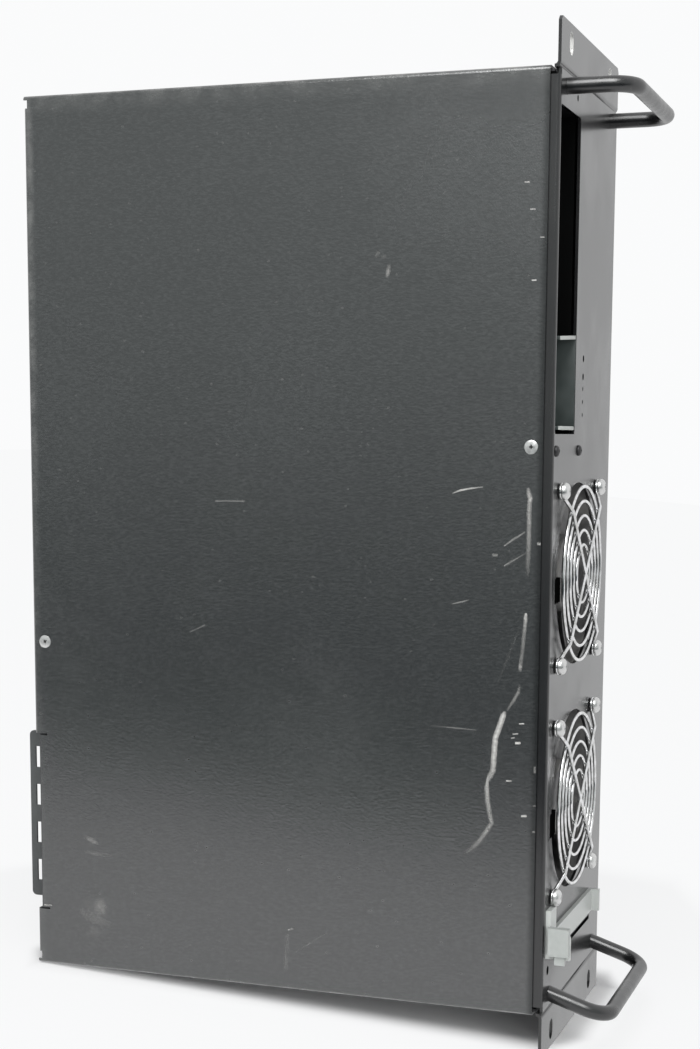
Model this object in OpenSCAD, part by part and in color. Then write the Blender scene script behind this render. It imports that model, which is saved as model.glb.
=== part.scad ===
// Short rack-mount computer chassis, three rack units high.
// It lies on its base: +Z is up, the front panel faces -Y and +X is to the right seen from the front.
// The origin is the centre of the base's underside.

/* [Case] */
// Width of the body between the rack ears
body_w = 440; // [430:1:450]
// Depth from the front panel's face to the back of the cover's rear lip
body_d = 270; // [260:1:400]
// Height of the case with its cover
body_h = 132.5; // [131:0.5:177]
// Thickness of the body's sheet metal
sheet = 1.2; // [0.8:0.1:1.6]
// Outside radius of the folds in the body's sheets
fold_r = 2; // [1.8:0.1:3]
// Clearance between faces that lie on each other
seat_gap = 0.05; // [0.02:0.01:0.15]
// Width of the rims turned in along the top of the side walls
rim_w = 10; // [6:0.5:14]
// Width of the lips turned in behind the front panel
front_lip_w = 14; // [12:0.5:18]

/* [Cover] */
// Distance from the front panel's face to the cover's front edge
cover_setback = 4.6; // [3.5:0.1:6]
// Height of the cover's side and rear lips
cover_lip_h = 12; // [8:0.5:16]
// Size of the notch that parts the lips at the rear corners
corner_relief = 4; // [3:0.5:6]
// Depth of the gap in the cover's rear edge over the slot shelf
shelf_cut_d = 3.2; // [3:0.1:4.5]
// Diameter of the countersunk cover screws' heads
cover_screw_head_d = 6.4; // [5.5:0.1:7]
// Place of the front cover screw to the right of the middle
front_screw_x = 50.4; // [20:0.1:60]
// Distance of the front cover screw behind the front panel's face
front_screw_inset = 10.2; // [9:0.1:12]
// Place of the rear cover screw to the left of the middle
rear_screw_x = 50.3; // [20:0.1:80]
// Distance of the rear cover screw ahead of the cover's rear lip
rear_screw_inset = 6.8; // [6:0.1:9]

/* [Front panel] */
// Thickness of the front panel
panel_t = 1.5; // [1:0.1:1.9]
// Depth of the panel's top flange under the cover
panel_top_d = 16; // [15:0.5:20]
// Depth of the panel's bottom flange
panel_bottom_d = 12; // [8:0.5:16]
// Distance of the flange ends from the panel's ends
flange_inset = 2.8; // [2:0.1:4]
// Height of the row of button and indicator holes above the middle of the case
hole_row_z = 3.75; // [-4:0.25:6]
// Diameter of the button holes
button_hole_d = 3.3; // [2.5:0.1:4]
// Diameter of the indicator holes
led_hole_d = 2; // [1.5:0.1:3]

/* [Rack ears] */
// Width of the chassis over both rack ears
rack_w = 482.6; // [480:0.1:485]
// Distance between the left and right ear slots
ear_slot_pitch_x = 465.1; // [464:0.1:467]
// Distance between the lower and upper ear slots
ear_slot_pitch_z = 88.9; // [57:0.05:89]
// Height of the ear slots' middle above the middle of the case
ear_slot_z = 0; // [-5:0.1:5]
// Length of an ear slot
ear_slot_len = 10; // [8:0.1:12]
// Width of an ear slot
ear_slot_w = 7; // [6:0.1:7.5]
// Thickness of the ear brackets
ear_t = 1.5; // [1.2:0.1:2]
// Outside radius of the fold in an ear bracket
ear_fold_r = 3; // [2.2:0.1:3.5]
// Depth of an ear's leg along the side wall
ear_leg_d = 30; // [24:0.5:40]

/* [Handles] */
// Diameter of the handle rod
rod_d = 7.4; // [6:0.1:8]
// Distance between a handle's legs
handle_pitch = 100; // [80:1:105]
// Height of the handles' middle above the middle of the case
handle_z = 0; // [-4:0.25:4]
// Distance of the handles from the body's sides
handle_inset = 7; // [6:0.1:8]
// Distance of the handle's bar in front of the panel
handle_reach = 30; // [24:0.5:45]
// Bend radius of the handle rod
handle_bend_r = 12; // [8:0.5:16]
// Angle by which the left handle is bent out of line
left_lean = 18; // [0:1:20]
// Diameter of the handle screws
handle_screw_d = 3; // [2.5:0.1:3.2]

/* [Fans] */
// Outside size of a fan frame
fan_size = 92; // [90:0.5:94]
// Depth of a fan frame
fan_depth = 25.4; // [24:0.1:38]
// Distance between a fan's screw holes
fan_screw_pitch = 82.5; // [82:0.1:84]
// Place of the right fan to the left of the middle
fan_right_x = 11.4; // [9:0.1:14]
// Distance between the two fans
fan_pitch = 112.3; // [104:0.1:114]
// Height of the fan shafts above the middle of the case
fan_z = 8.75; // [4:0.25:9.5]
// Diameter of the fan's air duct
duct_d = 88.6; // [87:0.1:88.8]
// Diameter of the holes in the front panel
fan_hole_d = 89; // [86:0.5:90]
// Width of the cable notch beside each fan hole
notch_w = 12; // [8:0.5:16]
// Reach of the cable notch past the edge of the fan hole
notch_reach = 3; // [2:0.1:4]
// Number of fan blades
blade_count = 7; // [5:1:9]
// Diameter of the fan hub
hub_d = 38; // [34:0.5:44]
// Running gap between the blade tips and the duct
tip_gap = 1.2; // [0.8:0.1:2]
// Thickness of the fan blades
blade_t = 1.3; // [1:0.1:1.8]
// Diameter of the fan shaft
shaft_d = 3; // [2:0.1:4]
// Radial clearance of the shaft in its bearing
shaft_gap = 0.03; // [0.02:0.01:0.06]

/* [Guards] */
// Diameter of the guard wire
wire_d = 1.8; // [1.5:0.1:2.2]
// Number of guard rings
ring_count = 5; // [4:1:5]
// Radius of the outer guard ring
ring_r = 42.5; // [40:0.5:43]
// Distance between the guard rings
ring_pitch = 7.1; // [6:0.1:7.5]
// Distance of the rings in front of the panel
ring_stand = 2.9; // [2:0.1:5]
// Diameter of the guard screws
guard_screw_d = 4; // [3:0.1:4.2]
// Diameter of the guard screw heads
guard_head_d = 8.4; // [7.5:0.1:9]
// Height of the guard screw heads
guard_head_h = 3.2; // [2.5:0.1:4]

/* [Drive bay] */
// Width of the drive bay opening
bay_w = 147; // [146.5:0.1:148]
// Height of the drive bay opening
bay_h = 42; // [41.5:0.1:43]
// Distance of the bay's right edge from the lip beside it
bay_margin = 1.4; // [1.2:0.1:4]
// Thickness of the drive cage's sheet
cage_t = 1; // [0.8:0.1:1.2]
// Depth of the drive cage
cage_d = 150; // [120:1:165]
// Distance between the two cheeks of the bay bracket
cheek_pitch = 41.5; // [38:0.5:46]
// Thickness of the bay bracket's cheeks
cheek_t = 1.8; // [1.2:0.1:2.2]
// Height of the bay bracket
bracket_h = 33; // [28:0.5:36]

/* [Filter door bracket] */
// Distance of the bracket's strip from the body's left side
strip_inset = 33; // [32:0.1:34]
// Width of the strip
strip_w = 11.5; // [9:0.1:13]
// Thickness of the strip and its ears
strip_t = 2; // [1.5:0.1:2.2]
// Height of the strip's lower ear
strip_z = 27; // [20:0.5:32]
// Reach of the lower ear in front of the panel
lower_ear_d = 6; // [4:0.1:8]
// Reach of the upper ear in front of the panel
upper_ear_d = 12; // [10:0.1:14]
// Width of the side tab at the strip's upper end
tab_w = 12; // [6:0.1:13]
// Reach of the side tab in front of the panel
tab_d = 2.4; // [2.2:0.1:4]
// Height of the side tab
tab_h = 12; // [8:0.5:16]
// Height of the latch block
latch_h = 4; // [3:0.1:4.5]
// Width of the latch block
latch_w = 13.5; // [12:0.1:16]
// Distance by which the latch block stands past the strip's inner edge
latch_over = 4.5; // [3:0.1:6]
// Length of the latch tongue
tongue_len = 4.5; // [2:0.1:5.5]

/* [Rear panel] */
// Distance between the expansion slots
slot_pitch = 20.32; // [20:0.01:20.6]
// Place of the first expansion slot to the left of the middle
slot_x = 114; // [113:0.1:118]
// Width of an expansion slot
slot_w = 13; // [12:0.1:14]
// Height of the expansion slots
slot_h = 98; // [90:0.5:98]
// Width of the slot shelf
shelf_w = 89; // [86:0.5:94]
// Reach of the slot shelf behind the rear panel
shelf_d = 14; // [12:0.1:18]
// Length of a shelf window
window_w = 11.3; // [9:0.1:12.5]
// Depth of a shelf window
window_d = 8.7; // [6:0.1:9.8]
// Width of the input and output cut-out
io_w = 158.75; // [156:0.05:160]
// Height of the input and output cut-out
io_h = 44.45; // [43:0.05:46]
// Height of the board standoffs
standoff_h = 6.5; // [5:0.5:10]

/* [Hidden] */
$fn = 64;
// Overshoot of a cut past the face that it opens
cut = 1;

// Planes that the sheets share
front_y = -body_d / 2;
rear_y = body_d / 2;
rear_wall_y = rear_y - sheet - seat_gap;
wall_x = body_w / 2 - sheet - seat_gap;
tray_h = body_h - sheet - seat_gap;
lip_y = front_y + panel_t + seat_gap;
cover_front_y = front_y + cover_setback;
leg_x = wall_x + seat_gap;
rear_top_d = 14;
rear_bottom_d = 12;
mid_z = body_h / 2;
// The lips behind the front panel stop short of the folds, and the base short of the panel's flange
lip_relief = 2;
base_gap = 0.2;

// Clearance of a screw in its hole, on the diameter
screw_play = 0.4;
// Radius of a screw head's dome, as a share of the head's diameter
dome_share = 0.62;
// Length of a screw's end past the last sheet that it holds
screw_tail = 2;
cover_screw_len = 6;
// The cover screws' shanks are this much thinner than the small end of their heads
cover_screw_step = 1;

// Front panel cut-outs
bay_right = wall_x - front_lip_w - bay_margin;
bay_left = bay_right - bay_w;
bay_top_gap = 0.3;
bay_top = tray_h - max(fold_r, panel_t) - bay_top_gap;
bay_bottom = bay_top - bay_h;
bay_corner_r = 1.5;
// Right edge of the cable notch from the fan's middle
notch_shift = 0.5;
fan_xs = [-fan_right_x, -fan_right_x - fan_pitch];
fan_mid_z = mid_z + fan_z;
// The row of holes starts at the bay's left end: three indicators, then two buttons
led_first = 9.3;
led_pitch = 6.3;
led_xs = [for (i = [0 : 2]) bay_left + led_first + i * led_pitch];
button_first = 27.7;
button_pitch = 8.7;
button_xs = [for (i = [0, 1]) bay_left + button_first + i * button_pitch];
hole_row_mid_z = mid_z + hole_row_z;
// Small hole at the right of the drive bay
side_hole_gap = 7.9;
side_hole_rise = 8.05;
side_hole_x = bay_right + side_hole_gap;
side_hole_z = bay_bottom + side_hole_rise;
side_hole_d = 3;

// Panel screws that hold the drive cage's front flange
panel_screw_d = 3;
panel_screw_gap = 7.8;
panel_screw_drop = 10;
panel_screw_pitch = 48.5;
panel_screw_x = bay_left - panel_screw_gap;
panel_screw_zs = [bay_bottom - panel_screw_drop, bay_bottom - panel_screw_drop + panel_screw_pitch];
panel_head_d = 5.2;
panel_head_h = 1.6;

// Drive cage
cage_y = lip_y + sheet + seat_gap;
cage_top = tray_h - max(panel_t, sheet) - seat_gap;
cage_play = 0.5;
cage_flange_w = 14;
cage_flange_drop = 17;
// Side holes of a standard drive, above the bay's floor and behind the cage's front
drive_hole_zs = [10, 21.8];
drive_hole_ys = [50, 129.4];
drive_hole_d = 3.4;
// Bay bracket
cheek_inset = 3.5;
cheek_d = 30;
bracket_setback = 0.5;

// Rack ear screws
ear_z = 0.5;
ear_chamfer = 2;
ear_screw_d = 3;
ear_head_d = 6;
ear_head_h = 2;
ear_leg_gap = 0.5;
ear_screw_inset = 9;
ear_screw_first = 18;
ear_screw_last = 14;
ear_screw_y = front_y + ear_leg_d - ear_screw_inset;
ear_leg_top = body_h - cover_lip_h - ear_leg_gap;
ear_screw_pitch = (ear_leg_top - ear_screw_first - ear_screw_last) / 2;
ear_screw_zs = [for (i = [0 : 2]) ear_screw_first + i * ear_screw_pitch];
ear_slot_zs = [for (side = [-1, 1]) mid_z + ear_slot_z + side * ear_slot_pitch_z / 2];

// Handles and their screws
handle_x = body_w / 2 - handle_inset;
handle_zs = [for (side = [-1, 1]) mid_z + handle_z + side * handle_pitch / 2];
handle_bore_depth = 6;
handle_screw_gap = 0.5;
handle_head_d = 6;
handle_head_h = 2.2;

// Fans
fan_corner_r = 6;
motor_base_t = 4;
motor_step = 1;
motor_d = hub_d - 2 * motor_step;
strut_w = 5;
// Depth by which the struts run into the frame
strut_root = 0.6;
hub_front = 3;
hub_gap = 1.4;
hub_len = fan_depth - motor_base_t - hub_gap - hub_front;
hub_wall = 2.2;
bearing_wall = 2.5;
bearing_d = shaft_d + 2 * bearing_wall;
bearing_front = 8;
shaft_end = 1;
blade_root_r = hub_d / 2 - hub_wall / 2;
blade_tip_r = duct_d / 2 - tip_gap;
blade_inset = 1;
blade_front = hub_front + blade_inset;
blade_back = hub_front + hub_len - blade_inset;
// Turn of a blade from its front edge to its back edge at the root, and how much less it is at the tip
blade_turn = 52;
blade_ease = 8;
// Sweep of a blade from root to tip, and the bow of its section
blade_sweep = 16;
blade_bow = 9;
fan_y = front_y + panel_t + seat_gap;
guard_hole_d = guard_screw_d + screw_play;

// Guards: an eye lies on the panel round each screw, and the struts lie on the rings
eye_play = 0.25;
eye_r = guard_screw_d / 2 + wire_d / 2 + eye_play;
eye_y = wire_d / 2 + seat_gap;
// Depth by which the struts sink into the rings where they are welded
weld_sink = 0.2;
strut_y = ring_stand + wire_d - weld_sink;
corner_r = fan_screw_pitch / sqrt(2);
kink_gap = 2;
kink_r = ring_r + kink_gap;
// A strut swells this much at its kink
knuckle = 0.15;
head_y = wire_d + 2 * seat_gap;
guard_screw_len = 13;

// Filter door bracket
strip_x = -body_w / 2 + strip_inset;
strip_top_gap = 4.5;
strip_top = tray_h - strip_top_gap;
latch_d = 10;
tongue_w = 5;
tongue_t = 2;
tongue_inset = 2;
tongue_rise = 0.5;
door_slot_w = 2.4;
door_slot_gap = 4.5;
door_slot_drop = 2;
door_slot_rise = 20;
door_hole_gap = 3;
door_hole_drop = 6;
door_slot_x = strip_x - strip_w / 2 - door_slot_gap;
door_slot_zs = [strip_z - door_slot_drop, fan_mid_z + door_slot_rise];
door_hole_x = door_slot_x - door_hole_gap;
door_hole_d = 4.5;
door_hole_z = strip_top - door_hole_drop;

// Rear panel cut-outs
slot_xs = [for (i = [0 : 3]) -slot_x - i * slot_pitch];
// Height of the slots' middle above the middle of the case
slot_mid_z = -3.25;
slot_z = mid_z + slot_mid_z - slot_h / 2;
shelf_x = (slot_xs[0] + slot_xs[3]) / 2;
shelf_gap = 1.5;
shelf_z = slot_z + slot_h + shelf_gap;
shelf_leg_h = 10;
shelf_corner_r = 2.5;
shelf_play = 1;
window_gap = 1.2;
io_gap = 10;
io_drop = 1;
io_x = slot_xs[0] + slot_w / 2 + io_gap;
io_z = sheet + standoff_h - io_drop;
psu_w = 150;
psu_gap = 2;
psu_rise = 1.5;
psu_x = wall_x - sheet - psu_w - psu_gap;
psu_z = sheet + psu_rise;
psu_rim = 12;
psu_corner_r = 4;
psu_open_h = 62;
psu_hole_d = 4;
// Screw places of a standard power supply, from the lower left corner of its face
psu_holes = [[6, 16], [6, 80], [144, 80], [120, 6]];

// Board standoffs
standoff_d = 6;
standoff_bore_d = 2.5;
// Mounting holes of a standard board: distances along the rear panel and away from it
board_inset = 14;
board_pitch_1 = 157.48;
board_pitch_2 = 69.85;
board_pitch_y = 154.94;
board_x = slot_xs[3] - board_inset;
board_y = rear_wall_y - sheet - board_inset;
standoff_xs = [board_x, board_x + board_pitch_1, board_x + board_pitch_1 + board_pitch_2];
standoff_ys = [board_y, board_y - board_pitch_y];

// A sheet's fold in section: a quarter ring about the origin, turned by a
module fold(r, t, a) {
    rotate(a)
        intersection() {
            difference() {
                circle(r);
                circle(r - t);
            }
            square(r);
        }
}

// A rectangle with round corners, from the origin
module round_rect(w, h, r) {
    translate([r, 0]) square([w - 2 * r, h]);
    translate([0, r]) square([w, h - 2 * r]);
    for (x = [r, w - r], y = [r, h - r])
        translate([x, y]) circle(r);
}

// Carries a section drawn in Y and Z along X, over the length w about the middle
module along_x(w) {
    rotate([90, 0, 90])
        translate([0, 0, -w / 2])
            linear_extrude(w) children();
}

// Carries a section drawn in X and Z along Y, from y0 to y1
module along_y(y0, y1) {
    translate([0, y1, 0])
        rotate([90, 0, 0])
            linear_extrude(y1 - y0) children();
}

// A round bar along Y
module bar_y(d, y0, y1) {
    translate([0, y0, 0])
        rotate([-90, 0, 0])
            cylinder(d = d, h = y1 - y0);
}

// A folded panel: its face lies at y = 0 and its flanges run to +Y
module folded_panel(w, h, t, r, top_d, bottom_d, inset) {
    translate([-w / 2, 0, r])
        cube([w, t, h - 2 * r]);
    along_x(w - 2 * inset) {
        translate([r, h - r]) fold(r, t, 90);
        translate([r, h - t]) square([top_d - r, t]);
        translate([r, r]) fold(r, t, 180);
        translate([r, 0]) square([bottom_d - r, t]);
    }
}

// Half of the tray's section: base, side wall and rim on the right
module tray_half() {
    square([wall_x - fold_r, sheet]);
    translate([wall_x - fold_r, fold_r]) fold(fold_r, sheet, 270);
    translate([wall_x - sheet, fold_r]) square([sheet, tray_h - 2 * fold_r]);
    translate([wall_x - fold_r, tray_h - fold_r]) fold(fold_r, sheet, 0);
    translate([wall_x - rim_w, tray_h - sheet]) square([rim_w - fold_r, sheet]);
}

// Lip turned in behind the front panel at the end of the right side wall
module tray_front_lip() {
    lip_clear = fold_r + lip_relief;
    translate([0, lip_y, lip_clear])
        linear_extrude(tray_h - 2 * lip_clear) {
            translate([wall_x - fold_r, fold_r]) fold(fold_r, sheet, 270);
            translate([wall_x - front_lip_w, 0]) square([front_lip_w - fold_r, sheet]);
        }
}

module chassis_tray() {
    rim_front = front_y + panel_top_d + seat_gap;
    rim_rear = rear_wall_y - rear_top_d - seat_gap;
    base_front = front_y + panel_bottom_d + base_gap;
    color("#2b2c2e")
        difference() {
            union() {
                for (side = [0, 1])
                    mirror([side, 0, 0]) {
                        along_y(lip_y + fold_r, rear_wall_y) tray_half();
                        tray_front_lip();
                    }
            }
            // The rims stop at the flanges of the front and rear panels
            translate([-body_w / 2, front_y, tray_h - fold_r])
                cube([body_w, rim_front - front_y, fold_r + cut]);
            translate([-body_w / 2, rim_rear, tray_h - fold_r])
                cube([body_w, rear_y - rim_rear, fold_r + cut]);
            // The base stops at the front panel's bottom flange
            translate([-body_w / 2, front_y, -cut])
                cube([body_w, base_front - front_y, fold_r + cut]);
            for (side = [-1, 1], z = ear_screw_zs)
                translate([side * wall_x, ear_screw_y, z])
                    rotate([0, 90, 0])
                        cylinder(d = ear_screw_d + screw_play, h = 6 * sheet, center = true);
            for (side = [-1, 1], z = handle_zs)
                translate([side * handle_x, 0, z])
                    bar_y(handle_screw_d + screw_play, lip_y - cut, lip_y + sheet + cut);
        }
}

module rear_panel() {
    plate_z = sheet + seat_gap;
    plate_w = 2 * (wall_x - sheet - seat_gap);
    color("#2b2c2e")
        difference() {
            translate([0, rear_wall_y, plate_z])
                mirror([0, 1, 0])
                    folded_panel(plate_w, tray_h - plate_z, sheet, fold_r, rear_top_d, rear_bottom_d, 0);
            along_y(rear_wall_y - 2 * sheet, rear_wall_y + cut) {
                for (x = slot_xs)
                    translate([x - slot_w / 2, slot_z]) square([slot_w, slot_h]);
                translate([io_x, io_z]) square([io_w, io_h]);
                translate([psu_x + psu_rim, psu_z + psu_rim])
                    round_rect(psu_w - 2 * psu_rim, psu_open_h, psu_corner_r);
                for (p = psu_holes)
                    translate([psu_x + p[0], psu_z + p[1]]) circle(d = psu_hole_d);
            }
            translate([-rear_screw_x, rear_y - rear_screw_inset, tray_h - 2 * sheet])
                cylinder(d = cover_screw_head_d - 2 * sheet + screw_play, h = 3 * sheet);
        }
}

// Strip behind the slots: an upright leg on the rear panel and a shelf with four windows
module slot_shelf() {
    leg_t = sheet;
    leg_y = rear_wall_y + seat_gap;
    color("#2b2c2e")
        difference() {
            translate([shelf_x, leg_y, shelf_z])
                union() {
                    translate([-shelf_w / 2, 0, fold_r])
                        cube([shelf_w, leg_t, shelf_leg_h - fold_r]);
                    along_x(shelf_w)
                        translate([fold_r, fold_r]) fold(fold_r, leg_t, 180);
                    translate([-shelf_w / 2, fold_r, 0])
                        cube([shelf_w, shelf_d - fold_r - shelf_corner_r, leg_t]);
                    translate([-shelf_w / 2 + shelf_corner_r, fold_r, 0])
                        cube([shelf_w - 2 * shelf_corner_r, shelf_d - fold_r, leg_t]);
                    for (side = [-1, 1])
                        translate([side * (shelf_w / 2 - shelf_corner_r), shelf_d - shelf_corner_r, 0])
                            cylinder(r = shelf_corner_r, h = leg_t);
                }
            for (x = slot_xs)
                translate([x - window_w / 2, leg_y + fold_r + window_gap - sheet, shelf_z - cut])
                    cube([window_w, window_d, leg_t + 2 * cut]);
        }
}

// Countersunk hole for a cover screw, its wide end at the cover's face
module countersink(play) {
    top_d = cover_screw_head_d + play;
    translate([0, 0, body_h - sheet])
        cylinder(d1 = top_d - 2 * sheet, d2 = top_d, h = sheet);
}

module at_cover_screws() {
    translate([front_screw_x, front_y + front_screw_inset, 0]) children();
    translate([-rear_screw_x, rear_y - rear_screw_inset, 0]) children();
}

module top_cover() {
    edge_x = body_w / 2 - fold_r;
    lip_len = cover_lip_h - fold_r;
    gap_w = shelf_w + 2 * shelf_play;
    slit_w = 1;
    slit_reach = 4;
    slit_d = shelf_cut_d + slit_reach;
    color("#303134")
        difference() {
            union() {
                translate([-edge_x, cover_front_y, body_h - sheet])
                    cube([2 * edge_x, rear_y - fold_r - cover_front_y, sheet]);
                for (side = [0, 1])
                    mirror([side, 0, 0])
                        along_y(cover_front_y, rear_y) {
                            translate([edge_x, body_h - fold_r]) fold(fold_r, sheet, 0);
                            translate([body_w / 2 - sheet, body_h - cover_lip_h]) square([sheet, lip_len]);
                        }
                // The rear lip stops short of the side lips, which leaves a notch at each corner
                along_x(2 * (edge_x - corner_relief)) {
                    translate([rear_y - fold_r, body_h - fold_r]) fold(fold_r, sheet, 0);
                    translate([rear_y - sheet, body_h - cover_lip_h]) square([sheet, lip_len]);
                }
            }
            // The rear lip and its fold are cut away over the slot shelf
            translate([shelf_x - gap_w / 2, rear_y - shelf_cut_d, 0])
                cube([gap_w, shelf_cut_d + cut, body_h + cut]);
            // Slits at the ends of the rear lip beside the shelf
            for (side = [-1, 1])
                translate([shelf_x + side * (gap_w + slit_w) / 2 - slit_w / 2, rear_y - slit_d, 0])
                    cube([slit_w, slit_d + cut, body_h + cut]);
            at_cover_screws() {
                countersink(screw_play);
                translate([0, 0, body_h])
                    cylinder(d = cover_screw_head_d + screw_play, h = cut);
            }
        }
}

module cover_screws() {
    thread_d = cover_screw_head_d - 2 * sheet - cover_screw_step;
    color("#d5d6d8")
        at_cover_screws() {
            countersink(0);
            translate([0, 0, body_h - sheet - cover_screw_len])
                cylinder(d = thread_d, h = cover_screw_len);
        }
}

module front_panel() {
    color("#333436")
        difference() {
            translate([0, front_y, 0])
                folded_panel(2 * wall_x, tray_h, panel_t, max(fold_r, panel_t), panel_top_d,
                    panel_bottom_d, flange_inset);
            along_y(front_y - cut, lip_y + cut) {
                translate([bay_left, bay_bottom]) round_rect(bay_w, bay_h, bay_corner_r);
                for (x = fan_xs)
                    translate([x, fan_mid_z]) {
                        circle(d = fan_hole_d);
                        translate([notch_shift - notch_w, 0]) square([notch_w, fan_hole_d / 2 + notch_reach]);
                        for (u = [-1, 1], v = [-1, 1])
                            translate([u * fan_screw_pitch / 2, v * fan_screw_pitch / 2])
                                circle(d = guard_hole_d);
                    }
                for (x = button_xs)
                    translate([x, hole_row_mid_z]) circle(d = button_hole_d);
                for (x = led_xs)
                    translate([x, hole_row_mid_z]) circle(d = led_hole_d);
                translate([side_hole_x, side_hole_z]) circle(d = side_hole_d);
                for (z = panel_screw_zs)
                    translate([panel_screw_x, z]) circle(d = panel_screw_d + screw_play);
                for (side = [-1, 1], z = handle_zs)
                    translate([side * handle_x, z]) circle(d = handle_screw_d + screw_play);
                translate([door_slot_x - door_slot_w / 2, door_slot_zs[0]])
                    square([door_slot_w, door_slot_zs[1] - door_slot_zs[0]]);
                translate([door_hole_x, door_hole_z]) circle(d = door_hole_d);
            }
            translate([front_screw_x, front_y + front_screw_inset, tray_h - 2 * panel_t])
                cylinder(d = cover_screw_head_d - 2 * sheet + screw_play, h = 3 * panel_t);
        }
}

// A screw along Y with a domed head towards -Y: the head's seat is at y = 0
module dome_screw(d, head_d, head_h, len) {
    dome_r = head_d * dome_share;
    rotate([90, 0, 0])
        rotate_extrude()
            intersection() {
                translate([0, head_h - dome_r]) circle(dome_r);
                square([head_d / 2, head_h]);
            }
    bar_y(d, -head_h / 2, len);
}

module panel_screws() {
    color("#242527")
        for (z = panel_screw_zs)
            translate([panel_screw_x, front_y - seat_gap, z])
                dome_screw(panel_screw_d, panel_head_d, panel_head_h, panel_t + cage_t + screw_tail);
}

// The right rack ear: a leg on the side wall and a flange in line with the front panel
module ear() {
    ear_h = tray_h - ear_z;
    difference() {
        translate([leg_x, front_y, ear_z])
            linear_extrude(ear_h) {
                translate([ear_fold_r, ear_fold_r]) fold(ear_fold_r, ear_t, 180);
                translate([0, ear_fold_r]) square([ear_t, ear_leg_d - ear_fold_r]);
                translate([ear_fold_r, 0]) square([rack_w / 2 - leg_x - ear_fold_r, ear_t]);
            }
        // The leg stays below the cover's side lip
        translate([leg_x - cut, front_y + ear_fold_r, ear_leg_top])
            cube([ear_t + 2 * cut, ear_leg_d, body_h]);
        for (z = ear_slot_zs)
            translate([ear_slot_pitch_x / 2, 0, z])
                along_y(front_y - cut, front_y + ear_t + cut)
                    ear_slot();
        for (z = ear_screw_zs)
            translate([leg_x, ear_screw_y, z])
                rotate([0, 90, 0])
                    cylinder(d = ear_screw_d + screw_play, h = 4 * ear_t, center = true);
        // Outer corners are cut off at an angle
        for (z = [ear_z, tray_h])
            translate([rack_w / 2, front_y + ear_t / 2, z])
                rotate([0, 45, 0])
                    cube([ear_chamfer * sqrt(2), 3 * ear_t, ear_chamfer * sqrt(2)], center = true);
    }
}

module ear_slot() {
    straight = ear_slot_len - ear_slot_w;
    square([straight, ear_slot_w], center = true);
    for (side = [-1, 1])
        translate([side * straight / 2, 0]) circle(d = ear_slot_w);
}

module left_ear() {
    color("#333436") mirror([1, 0, 0]) ear();
}

module right_ear() {
    color("#333436") ear();
}

module ear_screws() {
    color("#242527")
        for (side = [0, 1])
            mirror([side, 0, 0])
                for (z = ear_screw_zs)
                    translate([leg_x + ear_t + seat_gap, ear_screw_y, z])
                        rotate([0, 0, 90])
                            dome_screw(ear_screw_d, ear_head_d, ear_head_h, ear_t + sheet + screw_tail);
}

// A bent rod with its legs on the panel's face: lean turns it about its feet
module handle(lean) {
    leg_len = handle_reach - handle_bend_r;
    tail = rod_d;
    difference() {
        translate([0, front_y, 0])
            rotate([0, 0, lean])
                union() {
                    for (z = handle_zs)
                        translate([0, 0, z]) bar_y(rod_d, -leg_len, tail);
                    translate([0, -handle_reach, handle_zs[0] + handle_bend_r])
                        cylinder(d = rod_d, h = handle_pitch - 2 * handle_bend_r);
                    translate([0, -leg_len, handle_zs[0] + handle_bend_r])
                        rotate([0, 90, 0]) rotate([0, 0, -90]) rod_bend();
                    translate([0, -leg_len, handle_zs[1] - handle_bend_r])
                        rotate([0, 90, 0]) rotate([0, 0, 180]) rod_bend();
                }
        translate([-2 * rod_d, front_y - seat_gap, 0])
            cube([4 * rod_d, 4 * tail, body_h]);
        for (z = handle_zs)
            translate([0, 0, z])
                bar_y(handle_screw_d + 2 * seat_gap, front_y - handle_bore_depth, front_y + cut);
    }
}

module rod_bend() {
    rotate_extrude(angle = 90)
        translate([handle_bend_r, 0]) circle(d = rod_d);
}

module left_handle() {
    color("#1c1c1e") translate([-handle_x, 0, 0]) handle(-left_lean);
}

module right_handle() {
    color("#1c1c1e") translate([handle_x, 0, 0]) handle(0);
}

module handle_screws() {
    seat_y = lip_y + sheet + seat_gap;
    shank = seat_y - front_y + handle_bore_depth - handle_screw_gap;
    color("#242527")
        for (side = [-1, 1], z = handle_zs)
            translate([side * handle_x, seat_y, z])
                rotate([0, 0, 180])
                    dome_screw(handle_screw_d, handle_head_d, handle_head_h, shank);
}

// Places its children at a fan's shaft on the plane y
module at_fan(i, y) {
    translate([fan_xs[i], y, fan_mid_z]) children();
}

module at_fan_screws() {
    for (u = [-1, 1], v = [-1, 1])
        translate([u * fan_screw_pitch / 2, 0, v * fan_screw_pitch / 2]) children();
}

// A fan frame: a square block round the duct, with struts and the motor's base at the back
module fan_frame() {
    difference() {
        along_y(0, fan_depth)
            translate([-fan_size / 2, -fan_size / 2])
                round_rect(fan_size, fan_size, fan_corner_r);
        bar_y(duct_d, -cut, fan_depth + cut);
        at_fan_screws() bar_y(guard_hole_d, -cut, fan_depth + cut);
    }
    difference() {
        union() {
            bar_y(motor_d, fan_depth - motor_base_t, fan_depth);
            bar_y(bearing_d, bearing_front, fan_depth - motor_base_t);
            for (a = [45 : 90 : 315])
                rotate([0, a, 0])
                    translate([0, fan_depth - motor_base_t, -strut_w / 2])
                        cube([duct_d / 2 + strut_root, motor_base_t, strut_w]);
        }
        bar_y(shaft_d + 2 * shaft_gap, 0, fan_depth + cut);
    }
}

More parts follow.
